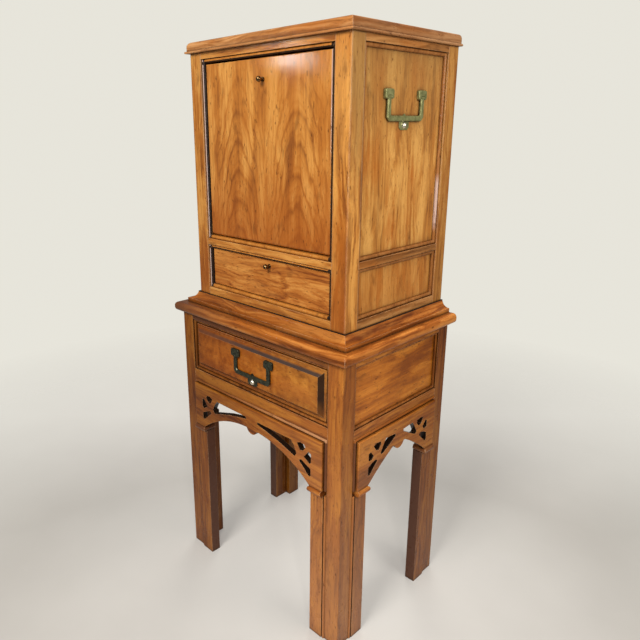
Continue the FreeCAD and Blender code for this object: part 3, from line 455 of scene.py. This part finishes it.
def rings(s, field, spacing):
    """Growth rings of a field in metres: a slow rise to light, then a thin dark line."""
    turn = s.math("FRACT", s.math("DIVIDE", field, spacing))
    return s.ramp(turn, (0.0, 0.60), (1.0, 0.60), (0.50, 0.66), (0.84, 0.14))


def door_veneer():
    """Two book-matched leaves with nested cathedral arches, plainer at the top and redder at the foot."""
    seed = 11.0
    s = Shader("door_veneer")
    axes = s.place()
    x, z = axes[0], axes[2]
    broad, streak, pore = grain(s, axes, seed)
    low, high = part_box("drop_front_panel")
    height = s.math("DIVIDE", s.math("SUBTRACT", z, low.z), high.z - low.z)
    wander = wandering(s, DOOR_WANDER)
    from_seam = s.math("ABSOLUTE", s.math("SUBTRACT", x, DOOR_SEAM))
    off_axis = s.math("ABSOLUTE", s.math("SUBTRACT", from_seam, LEAF_AXIS))
    off_axis = s.math("MULTIPLY_ADD", s.math("SUBTRACT", wander, 0.5), LEAF_WANDER, off_axis)
    arch = s.math("MULTIPLY", s.math("MULTIPLY", off_axis, off_axis), ARCH_STEEPNESS)
    field = s.math("ADD", z, arch)
    field = s.math("MULTIPLY_ADD", broad, 0.032, field)
    field = s.math("MULTIPLY_ADD", streak, 0.007, field)
    wide = s.math("SUBTRACT", rings(s, field, ARCH_SPACING), 0.55)
    fine_field = s.math("ADD", field, FINE_ARCH_SHIFT)
    narrow = s.math("SUBTRACT", rings(s, fine_field, FINE_ARCH_SPACING), 0.55)
    clear = s.ramp(s.math("MULTIPLY", off_axis, 10), (0.40, 1.0), (0.80, 0.30))
    clear = s.math("MULTIPLY", clear, s.ramp(wander, (0.35, 0.40), (0.60, 1.0)))
    clear = s.math("MULTIPLY", clear, s.ramp(height, (0.62, 1.0), (0.86, 0.35)))
    figure = s.math("MULTIPLY", average(s, (wide, 0.26), (narrow, 0.10)), clear)
    tone = s.math("ADD", figure, average(s, (streak, 0.26), (broad, 0.46), (wander, 0.30)))
    colour = uneven_stain(s, tones(s, tone, CASE_TONES), axes, CASE_TONES, seed, 0.45)
    redder = s.ramp(s.math("MULTIPLY_ADD", broad, 0.4, height), (0.27, 0.98), (0.72, 0.0))
    colour = s.mix(s.math("MULTIPLY", redder, 0.5), colour, RUSSET)
    colour = s.mix(redder, colour, FOOT_RED, "MULTIPLY")
    # Painted highlight: a lilac line up the upper part of the right edge
    at_edge = s.math("GREATER_THAN", x, high.x - HIGHLIGHT_EDGE)
    painted_highlight = s.math("MULTIPLY", at_edge, s.ramp(height, (0.45, 0.0), (0.70, 0.7)))
    colour = s.mix(painted_highlight, colour, LILAC_HIGHLIGHT)
    return lacquered(s, colour, axes, streak, pore, seed, moves=True, gloss=(0.07, 0.13), mirror=0.24)


def side_veneer():
    """Upright streaks with a soft flame, warmer below the door's foot and in painted olive shade towards
    the top.
    """
    seed = 15.0
    s = Shader("side_veneer")
    axes = s.place()
    z = axes[2]
    broad, streak, pore = grain(s, axes, seed)
    wander = wandering(s, SIDE_WANDER, detail=4)
    tone = s.math("SUBTRACT", average(s, (streak, 0.46), (broad, 0.56), (wander, 0.24)), 0.11)
    colour = uneven_stain(s, tones(s, tone, SIDE_TONES), axes, SIDE_TONES, seed, 0.85)
    warm = s.math("MULTIPLY", s.math("LESS_THAN", z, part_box("drop_front_panel")[0].z), 0.35)
    colour = s.mix(warm, colour, RUSSET)
    # Painted shade: olive towards the top
    above = s.math("MULTIPLY_ADD", wander, 0.10, s.math("SUBTRACT", z, SHADE_FROM_Z))
    colour = s.mix(s.ramp(above, (0.16, 0.0), (0.34, 0.62)), colour, OLIVE_SHADE)
    return lacquered(s, colour, axes, streak, pore, seed, reach=0.018, gloss=(0.20, 0.34))


def small_drawer_veneer():
    """Level streaks with long flat arches."""
    seed = 13.0
    s = Shader("small_drawer_veneer")
    axes = grain_axes(s, "x")
    broad, streak, pore = grain(s, axes, seed)
    wander = wandering(s, SMALL_DRAWER_WANDER)
    flat_arch = rings(s, s.math("MULTIPLY_ADD", wander, 0.09, axes[0]), FLAT_ARCH_SPACING)
    tone = average(s, (flat_arch, 0.14), (streak, 0.48), (broad, 0.40))
    colour = uneven_stain(s, tones(s, tone, DRAWER_TONES), axes, DRAWER_TONES, seed, 0.4)
    return lacquered(s, colour, axes, streak, pore, seed, moves=True)


def stand_drawer_veneer():
    """A mottled burr field, redder at its left end and in painted shade at its edges, inside a dark-glazed
    bevel with a painted reflection on its top, and a plain rim.
    """
    seed = 19.0
    s = Shader("stand_drawer_veneer")
    axes = grain_axes(s, "x")
    z, x = axes[0], axes[2]
    broad, streak, pore = grain(s, axes, seed)
    coords = s.add("TexCoord").outputs["Object"]
    burr = {"Vector": coords, "Scale": BURR_WAVES, "Detail": 5, "Distortion": 1.6}
    swirl = s.add("TexNoise", burr).outputs["Fac"]
    fine = s.noise(coords, FINE_BURR_WAVES, 4, 0.6)
    tone = average(s, (swirl, 0.52), (fine, 0.24), (broad, 0.28))
    tone = s.math("MULTIPLY_ADD", x, 0.12, tone)
    colour = uneven_stain(s, tones(s, tone, FRIEZE_TONES), axes, FRIEZE_TONES, seed, 0.7)
    colour = paint_corner_light(s, colour)
    redder = s.signed_ramp(x, (-0.06, 1.0), (0.12, 0.0))
    colour = s.mix(redder, colour, LEFT_RED, "MULTIPLY")
    low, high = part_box("stand_drawer_front")
    past_side = s.math("SUBTRACT", s.math("ABSOLUTE", x), high.x - FIELD_INSET)
    middle = (low.z + high.z) / 2
    from_middle = s.math("SUBTRACT", z, middle)
    past_end = s.math("SUBTRACT", s.math("ABSOLUTE", from_middle), high.z - middle - FIELD_INSET)
    past = s.math("MAXIMUM", past_side, past_end)
    # Painted shade on the field towards its edges
    painted_edge_shade = s.signed_ramp(past, (-0.025, 0.0), (0.0, 0.36))
    colour = s.mix(painted_edge_shade, colour, UMBER_SHADE)
    across = s.math("DIVIDE", past, BEVEL_WIDTH)
    bevel = s.math("MULTIPLY", s.math("GREATER_THAN", across, 0.0), s.math("LESS_THAN", across, 1.0))
    upright = s.math("GREATER_THAN", past_side, past_end)
    narrowed = s.ramp(across, (0.45, 1.0), (0.80, 0.0))
    bevel = s.math("MULTIPLY", bevel, s.blend_value(upright, narrowed, 1.0))
    # Painted reflection over glaze on the top bevel, black stain on the right, weaker to the left
    glaze = s.mix(upright, BEVEL_GLAZE_AND_REFLECTION, STAIN_AND_SHADOW)
    rightward = s.math("MULTIPLY_ADD", from_middle, 4, x)
    glaze_and_reflection = s.ramp(rightward, (0.0, 0.45), (0.14, 0.94))
    colour = s.mix(s.math("MULTIPLY", bevel, glaze_and_reflection), colour, glaze)
    return lacquered(s, colour, axes, streak, pore, seed, moves=True)


def stand_side_veneer():
    """Level streaks with a wavy mottle."""
    seed = 17.0
    s = Shader("stand_side_veneer")
    axes = grain_axes(s, "y")
    broad, streak, pore = grain(s, axes, seed)
    wander = wandering(s, STAND_SIDE_WANDER, detail=5)
    wave = rings(s, s.math("MULTIPLY_ADD", wander, 0.07, axes[0]), WAVE_SPACING)
    tone = average(s, (wave, 0.10), (streak, 0.32), (broad, 0.58), (wander, 0.34))
    tone = s.math("SUBTRACT", tone, 0.13)
    colour = uneven_stain(s, tones(s, tone, FRIEZE_TONES), axes, FRIEZE_TONES, seed, 0.25)
    colour = s.mix(1.0, paint_corner_light(s, colour), SIDE_WARM, "MULTIPLY")
    return lacquered(s, colour, axes, streak, pore, seed, reach=0.016)


def case_post_wood():
    """Upright grain: the front reddens low down and glows high on the right, and the sides carry painted
    light, pale gold low down, browner above and darker towards the rear."""
    seed = 0.0
    s = Shader("case_post_wood")
    axes = x, y, z = s.place()
    broad, streak, pore = grain(s, axes, seed)
    tone = s.math("SUBTRACT", average(s, (streak, 0.80), (broad, 0.92)), 0.35)
    colour = uneven_stain(s, tones(s, tone, CASE_TONES), axes, CASE_TONES, seed, 0.9)
    colour = s.mix(1.0, colour, s.signed_ramp(x, (-0.20, 0.88), (0.20, 1.0)), "MULTIPLY")
    side = facing_mask(s, "x")
    low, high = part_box("case_post_front_right")
    height = s.math("DIVIDE", s.math("SUBTRACT", z, low.z), high.z - low.z)
    uneven = s.math("MULTIPLY_ADD", broad, STILE_UNEVEN, height)
    uneven = s.math("DIVIDE", uneven, 1 + STILE_UNEVEN)
    front = s.math("SUBTRACT", 1.0, side)
    from_glow = s.math("ABSOLUTE", s.math("SUBTRACT", uneven, STILE_GLOW))
    on_right = s.math("MULTIPLY", front, s.math("GREATER_THAN", x, 0.0))
    lighter = s.math("MULTIPLY", s.ramp(from_glow, (0.04, 0.65), (0.16, 0.0)), on_right)
    colour = s.mix(lighter, colour, CASE_TONES[2])
    redder = s.math("MULTIPLY", s.ramp(uneven, (0.28, 0.60), (0.50, 0.0)), front)
    colour = s.mix(redder, colour, BRICK)
    # Painted light on the side faces: paler low down, olive shade above, darker towards the rear
    golden = s.math("MULTIPLY", s.ramp(uneven, (0.30, 0.25), (0.55, 0.0)), side)
    colour = s.mix(golden, colour, CASE_TONES[2])
    browner = s.math("MULTIPLY", s.ramp(uneven, (0.46, 0.0), (0.70, 0.80)), side)
    browner = s.math("MULTIPLY", browner, s.math("LESS_THAN", y, 0.0))
    colour = s.mix(browner, colour, OLIVE_SHADE)
    rear = s.mix(1.0, colour, s.signed_ramp(y, (-0.10, 1.0), (0.16, 0.66)), "MULTIPLY")
    colour = s.mix(side, colour, rear)
    return lacquered(s, colour, axes, streak, pore, seed, reach=0.003, depth=0.5, easing=POST_SOFT)


def stand_rail_wood():
    """Level grain, with painted shadow on the rail under the moulding, most of all at its left end."""
    seed = 27.0
    s = Shader("stand_front_rail_wood")
    axes = grain_axes(s, "x")
    z, x = axes[0], axes[2]
    broad, streak, pore = grain(s, axes, seed)
    colour = tones(s, average(s, (streak, 0.40), (broad, 0.60)), STAND_TONES)
    colour = paint_corner_light(s, uneven_stain(s, colour, axes, STAND_TONES, seed))
    above = s.math("GREATER_THAN", z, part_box("stand_drawer_front")[1].z)
    # Painted shadow under the nosing, deeper to the left
    painted_shadow = s.math("MULTIPLY", above, s.signed_ramp(x, (-0.20, 0.85), (0.20, 0.45)))
    colour = s.mix(painted_shadow, colour, LEG_SHADE_BROWN)
    return lacquered(s, colour, axes, streak, pore, seed, reach=0.010)


def cove_wood():
    """Grain along the moulding, darker on the front, with a painted shade line where it meets the case."""
    seed = 36.0
    s = Shader("cove_wood")
    axes = grain_axes(s, "wrap")
    broad, streak, pore = grain(s, axes, seed)
    tone = average(s, (streak, 0.52), (broad, 0.48))
    on_side = s.math("GREATER_THAN", s.math("ABSOLUTE", s.place()[0]), CORNER_X)
    colour = s.mix(on_side, tones(s, tone, COVE_TONES), tones(s, tone, MOULDING_TONES))
    colour = uneven_stain(s, colour, axes, COVE_TONES, seed)
    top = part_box("retaining_moulding")[1].z
    # Painted shade: a dark line at the joint with the case
    line = s.math("GREATER_THAN", axes[0], top - COVE_SHADE_LINE)
    material = lacquered(s, colour, axes, streak, pore, seed, depth=1.0)
    finished = s.surface.inputs["Base Color"].links[0].from_socket
    s.put(s.surface.inputs["Base Color"], s.mix(line, finished, STAIN_AND_SHADOW))
    return material


def nosing_wood():
    """Grain that runs round the stand top's edge, in painted shade at the left end."""
    seed = 35.0
    s = Shader("nosing_wood")
    axes = grain_axes(s, "wrap")
    broad, streak, pore = grain(s, axes, seed)
    colour = tones(s, average(s, (streak, 0.50), (broad, 0.50)), MOULDING_TONES)
    colour = uneven_stain(s, colour, axes, MOULDING_TONES, seed)
    # Painted shade at the unlit left end
    painted_shadow = s.signed_ramp(s.place()[0], (-0.22, 0.85), (-0.04, 0.0))
    colour = s.mix(painted_shadow, colour, LEG_SHADE_BROWN)
    return lacquered(s, colour, axes, streak, pore, seed, depth=1.0, easing=NOSING_SOFT)


def capital_wood():
    """The blocks over the leg wings, in painted shade away from the front right corner."""
    seed = 35.0
    s = Shader("capital_wood")
    axes = grain_axes(s, "wrap")
    broad, streak, pore = grain(s, axes, seed)
    colour = tones(s, average(s, (streak, 0.50), (broad, 0.50)), MOULDING_TONES)
    # Painted shade away from the front right corner
    colour = s.mix(s.ramp(from_corner(s), (0.10, 0.0), (0.26, 0.85)), colour, LEG_SHADE_BROWN)
    return lacquered(s, colour, axes, streak, pore, seed, depth=1.0, easing=NOSING_SOFT)


def apron_bead_wood():
    """Beads down the legs, in painted shade beside the aprons, and over the aprons, with a painted
    highlight near the corner.
    """
    seed = 39.0
    s = Shader("apron_bead_wood")
    x, y, z = s.place()
    low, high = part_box("fret_apron_front")
    level = s.math("GREATER_THAN", z, high.z)
    along = s.blend_value(level, z, s.math("ADD", x, y))
    axes = s.blend_value(level, x, z), s.blend_value(level, y, z), along
    broad, streak, pore = grain(s, axes, seed)
    colour = paint_corner_light(s, tones(s, calm_tone(s, streak, broad), STAND_TONES))
    # Painted highlight on the bead over the aprons, near the front right corner
    painted_highlight = s.signed_ramp(x, (-0.10, 0.04), (0.19, 0.34))
    painted_highlight = s.math("MULTIPLY", painted_highlight, s.math("LESS_THAN", y, CORNER_Y))
    colour = s.mix(s.math("MULTIPLY", level, painted_highlight), colour, WORN_AND_HIGHLIGHT)
    # Painted shade on the beads beside the aprons
    beside = s.math("MULTIPLY", s.math("GREATER_THAN", z, low.z), s.math("LESS_THAN", z, high.z))
    colour = s.mix(s.math("MULTIPLY", beside, 0.85), colour, LEG_SHADE_BROWN)
    return lacquered(s, colour, axes, streak, pore, seed, reach=0.002, depth=0.4)


def side_bead_wood():
    """The beads round the side panels, with a painted highlight along the middle of the rear uprights."""
    seed = 9.0
    s = Shader("side_bead_wood")
    axes = s.place()
    y, z = axes[1], axes[2]
    broad, streak, pore = grain(s, axes, seed)
    colour = tones(s, calm_tone(s, streak, broad), SIDE_BEAD_TONES)
    # Painted highlight: a lilac glint on the rear uprights
    at_rear = s.math("GREATER_THAN", y, HIGHLIGHT_FROM_Y)
    middle = s.ramp(s.math("ABSOLUTE", s.math("SUBTRACT", z, HIGHLIGHT_Z)), (0.035, 0.75), (0.055, 0.0))
    colour = s.mix(s.math("MULTIPLY", at_rear, middle), colour, LILAC_HIGHLIGHT)
    return lacquered(s, colour, axes, streak, pore, seed, reach=0.003, depth=0.45)


def front_bead_wood():
    """The beads round the door and drawer, with a painted highlight at the left and painted black shadow by
    the gaps.
    """
    seed = 9.0
    s = Shader("front_bead_wood")
    axes = s.place()
    x, z = axes[0], axes[2]
    broad, streak, pore = grain(s, axes, seed)
    colour = tones(s, calm_tone(s, streak, broad), CASE_TONES)
    low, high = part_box("drop_front_panel")
    drawer_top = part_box("upper_drawer_front")[1].z
    # Painted highlight: pale lilac on the left bead
    colour = s.mix(s.math("LESS_THAN", x, low.x), colour, LILAC_HIGHLIGHT)
    # Painted shadow: black bands beside the gaps
    shade = 0.0
    gaps = ((x, high.x, 1, RIGHT_GAP_SHADOW), (x, low.x, -1, LEFT_GAP_SHADOW), (z, high.z, 1, DOOR_TOP_GAP_SHADOW),
            (z, drawer_top, 1, DRAWER_TOP_GAP_SHADOW))
    for along, edge, way, width in gaps:
        past = s.math("MULTIPLY", s.math("SUBTRACT", along, edge), way)
        band = s.math("MULTIPLY", s.math("GREATER_THAN", past, 0.0), s.math("LESS_THAN", past, width))
        shade = s.math("MAXIMUM", shade, band)
    colour = s.mix(s.math("MULTIPLY", shade, 0.98), colour, STAIN_AND_SHADOW)
    return lacquered(s, colour, axes, streak, pore, seed, reach=0.002, depth=0.25)


def inside_wood(name, direction, seed=0.0):
    """Plain, nearly matt wood for the insides and the back."""
    s = Shader(name)
    axes = grain_axes(s, direction)
    broad, streak, pore = grain(s, axes, seed)
    colour = s.ramp(average(s, (streak, 0.6), (broad, 0.4)), (0.35, PLAIN_DEEP), (0.65, PLAIN_LIGHT))
    material = lacquered(s, colour, axes, streak, pore, seed, depth=0.6, moves=True, gloss=(0.5, 0.65))
    s.fixed(Coat_Weight=0.0)
    return material


def metal(name):
    """A patchy patina with tarnish left in the corners and fine pits."""
    dark, bright, smooth, rough, scale, metallic = METALS[name]
    s = Shader(name)
    coords = s.add("TexCoord").outputs["Object"]
    patina = s.noise(coords, scale, 4, 0.6)
    colour = s.ramp(patina, (0.35, dark), (0.65, bright))
    corner = s.add("AmbientOcclusion", {"Distance": TARNISH_REACH}, samples=6, only_local=True)
    colour = s.mix(s.ramp(corner.outputs["AO"], (0.3, 0.8), (0.9, 0.0)), colour, TARNISH)
    soft = s.add("Bevel", {"Radius": METAL_SOFT}, samples=4).outputs[0]
    pits = s.noise(coords, scale * 6, 2)
    bump = s.add("Bump", {"Strength": 0.15, "Distance": PIT_RELIEF, "Height": pits, "Normal": soft})
    s.put(s.surface.inputs["Base Color"], colour)
    s.put(s.surface.inputs["Roughness"], s.ramp(patina, (0.3, rough), (0.7, smooth)))
    s.put(s.surface.inputs["Normal"], bump.outputs[0])
    s.fixed(Metallic=metallic)
    return s.material


def wear(node_names, material):
    """Gives the named nodes a material in place of their own."""
    for name in node_names.split():
        slots = nodes[name].data.materials
        slots.clear()
        slots.append(material)


def add_camera():
    """The camera where the photograph was taken."""
    data = bpy.data.cameras.new("photo_camera")
    data.lens = CAMERA_LENS
    data.shift_x, data.shift_y = CAMERA_SHIFT
    data.clip_start = 0.01
    camera = bpy.data.objects.new("photo_camera", data)
    camera.location = CAMERA_AT
    camera.rotation_euler = [math.radians(turn) for turn in CAMERA_TURN_DEG]
    bpy.context.collection.objects.link(camera)
    bpy.context.scene.camera = camera


def add_lamp(name, place, width, height, watts):
    """A soft rectangular lamp aimed at the cabinet's middle."""
    data = bpy.data.lights.new(name, "AREA")
    data.shape = "RECTANGLE"
    data.size, data.size_y = width, height
    data.energy = watts
    data.color = LAMP_COLOUR
    lamp = bpy.data.objects.new(name, data)
    lamp.location = place
    lamp.rotation_euler = (Vector(LAMP_AIM) - Vector(place)).to_track_quat("-Z", "Y").to_euler()
    bpy.context.collection.objects.link(lamp)
    return lamp


def add_floor():
    """A pale floor fading out into the pale room around it, with a painted glow under and behind the
    cabinet.
    """
    mesh = bpy.data.meshes.new("floor")
    corners = [(-FLOOR_HALF, -FLOOR_HALF, 0), (FLOOR_HALF, -FLOOR_HALF, 0),
               (FLOOR_HALF, FLOOR_HALF, 0), (-FLOOR_HALF, FLOOR_HALF, 0)]
    mesh.from_pydata(corners, [], [(0, 1, 2, 3)])
    floor = bpy.data.objects.new("floor", mesh)
    bpy.context.collection.objects.link(floor)
    s = Shader("pale_floor")
    coords = s.add("TexCoord").outputs["Object"]
    cloud = s.noise(coords, FLOOR_WAVES, 4)
    s.put(s.surface.inputs["Base Color"], s.ramp(cloud, (0.3, FLOOR_DARK), (0.7, FLOOR_LIGHT)))
    away = s.add("VectorMath", {0: coords}, operation="LENGTH").outputs["Value"]
    # Painted light: the floor glows under the cabinet and behind it
    under = s.ramp(s.math("DIVIDE", away, FLOOR_HALF), (0.05, 0.50), (0.24, 0.05))
    x, y = s.place()[:2]
    behind = s.ramp(s.math("SUBTRACT", y, x), (0.10, 0.05), (1.00, 0.60))
    s.put(s.surface.inputs["Emission Strength"], s.math("MAXIMUM", under, behind))
    s.fixed(Roughness=0.5, Emission_Color=FLOOR_LIGHT)
    faded = s.ramp(s.math("DIVIDE", away, FLOOR_HALF), (0.22, 0.0), (0.60, 1.0))
    blend = s.add("MixShader", {0: faded, 1: s.surface.outputs[0]})
    s.put(blend.inputs[2], s.add("BsdfTransparent").outputs[0])
    s.put(s.tree.nodes["Material Output"].inputs["Surface"], blend.outputs[0])
    mesh.materials.append(s.material)


def add_room_light():
    """A pale room, dimmer when it is mirrored or lights the piece than when it is seen, and soft lamps,
    of which the one at the back is not mirrored."""
    world = bpy.data.worlds.new("studio")
    world.use_nodes = True
    tree = world.node_tree
    background = tree.nodes["Background"]
    background.inputs["Color"].default_value = ROOM
    path = tree.nodes.new("ShaderNodeLightPath")
    seen = tree.nodes.new("ShaderNodeMath")
    seen.operation = "MAXIMUM"
    tree.links.new(path.outputs["Is Camera Ray"], seen.inputs[0])
    mirrored = tree.nodes.new("ShaderNodeMath")
    mirrored.operation = "MULTIPLY"
    mirrored.inputs[1].default_value = ROOM_MIRRORED
    tree.links.new(path.outputs["Is Glossy Ray"], mirrored.inputs[0])
    tree.links.new(mirrored.outputs[0], seen.inputs[1])
    level = tree.nodes.new("ShaderNodeMapRange")
    level.inputs["To Min"].default_value = ROOM_FILL
    tree.links.new(seen.outputs[0], level.inputs["Value"])
    tree.links.new(level.outputs[0], background.inputs["Strength"])
    bpy.context.scene.world = world
    lamps = {name: add_lamp(name, *settings) for name, settings in LAMPS.items()}
    lamps["back_fill"].visible_glossy = False


wear("case_post_front_left case_post_front_right case_post_rear_left case_post_rear_right",
     case_post_wood())
wear("case_front_rails",
     solid_wood("case_front_rail_wood", "x", CASE_TONES, 3.0, reach=0.002, depth=0.25,
                gloss=(0.12, 0.20), mirror=0.24))
wear("case_side_rails",
     solid_wood("case_side_rail_wood", "y", SIDE_RAIL_TONES, 5.0, reach=0.003, depth=0.6))
wear("case_top top_lip",
     solid_wood("case_top_wood", "wrap", TOP_TONES, 7.0, side_shade=TOP_SIDE_SHADE, reach=0.008,
                easing=NOSING_SOFT))
wear("case_front_beads", front_bead_wood())
wear("case_side_beads", side_bead_wood())
wear("stand_post_front_left stand_post_front_right stand_post_rear_left stand_post_rear_right",
     solid_wood("stand_post_wood", "z", STAND_TONES, 21.0, side_shade=SIDE_SHADE, streaks=0.30, patches=0.45,
                painted_light=True))
wear("front_leg_wings",
     solid_wood("front_wing_wood", "z", STAND_TONES, 23.0, dark_faces="x", stain=LEG_SHADE_BROWN, painted_light=True))
wear("side_leg_wings",
     solid_wood("side_wing_wood", "z", STAND_TONES, 25.0, dark_faces="y", stain=LEG_SHADE_BROWN,
                side_shade=SIDE_SHADE, painted_light=True))
wear("stand_front_rails", stand_rail_wood())
wear("stand_side_rails", solid_wood("stand_side_rail_wood", "y", STAND_TONES, 29.0, painted_light=True))
wear("fret_apron_front",
     solid_wood("front_fret_wood", "x", STAND_TONES, 31.0, dark_faces="xz", cut_from="fret_apron_front",
                painted_light=True))
wear("fret_apron_left fret_apron_right",
     solid_wood("side_fret_wood", "y", STAND_TONES, 33.0, dark_faces="yz", cut_from="fret_apron_right",
                streaks=0.24, patches=0.3, painted_light=True))
wear("retaining_moulding", cove_wood())
wear("stand_top", nosing_wood())
wear("leg_capitals", capital_wood())
wear("stand_beads",
     solid_wood("stand_bead_wood", "z", STAND_BEAD_TONES, 37.0, reach=0.003, depth=0.6, painted_light=True))
wear("leg_and_apron_beads", apron_bead_wood())
wear("drop_front_panel", door_veneer())
wear("upper_drawer_front", small_drawer_veneer())
wear("stand_drawer_front", stand_drawer_veneer())
wear("side_panels_left side_panels_right", side_veneer())
wear("stand_side_panels", stand_side_veneer())
wear("upper_drawer_box upper_drawer_bottom stand_drawer_box stand_drawer_bottom",
     inside_wood("drawer_lining", "y"))
wear("upper_drawer_runners stand_drawer_runners compartment_floor shelf",
     inside_wood("inner_boards", "y", 2.0))
wear("case_bottom case_back stand_back_panel", inside_wood("back_boards", "z", 4.0))
wear("handle_mount_left handle_mount_right handle_bail_left handle_bail_right", metal("aged_brass"))
wear("drawer_handle_mount drawer_handle_bail", metal("dark_bronze"))
wear("drop_front_knob upper_drawer_knob", metal("knob_brass"))
wear("side_handle_studs drawer_handle_stud", metal("polished_brass"))
wear("pivot_pins stay_keepers quadrant_stays strike_plate drop_front_bushes shelf_pins",
     metal("fitting_brass"))
wear("magnet_catch", metal("black_housing"))

add_camera()
add_floor()
add_room_light()
bpy.context.scene.view_settings.view_transform = "Standard"
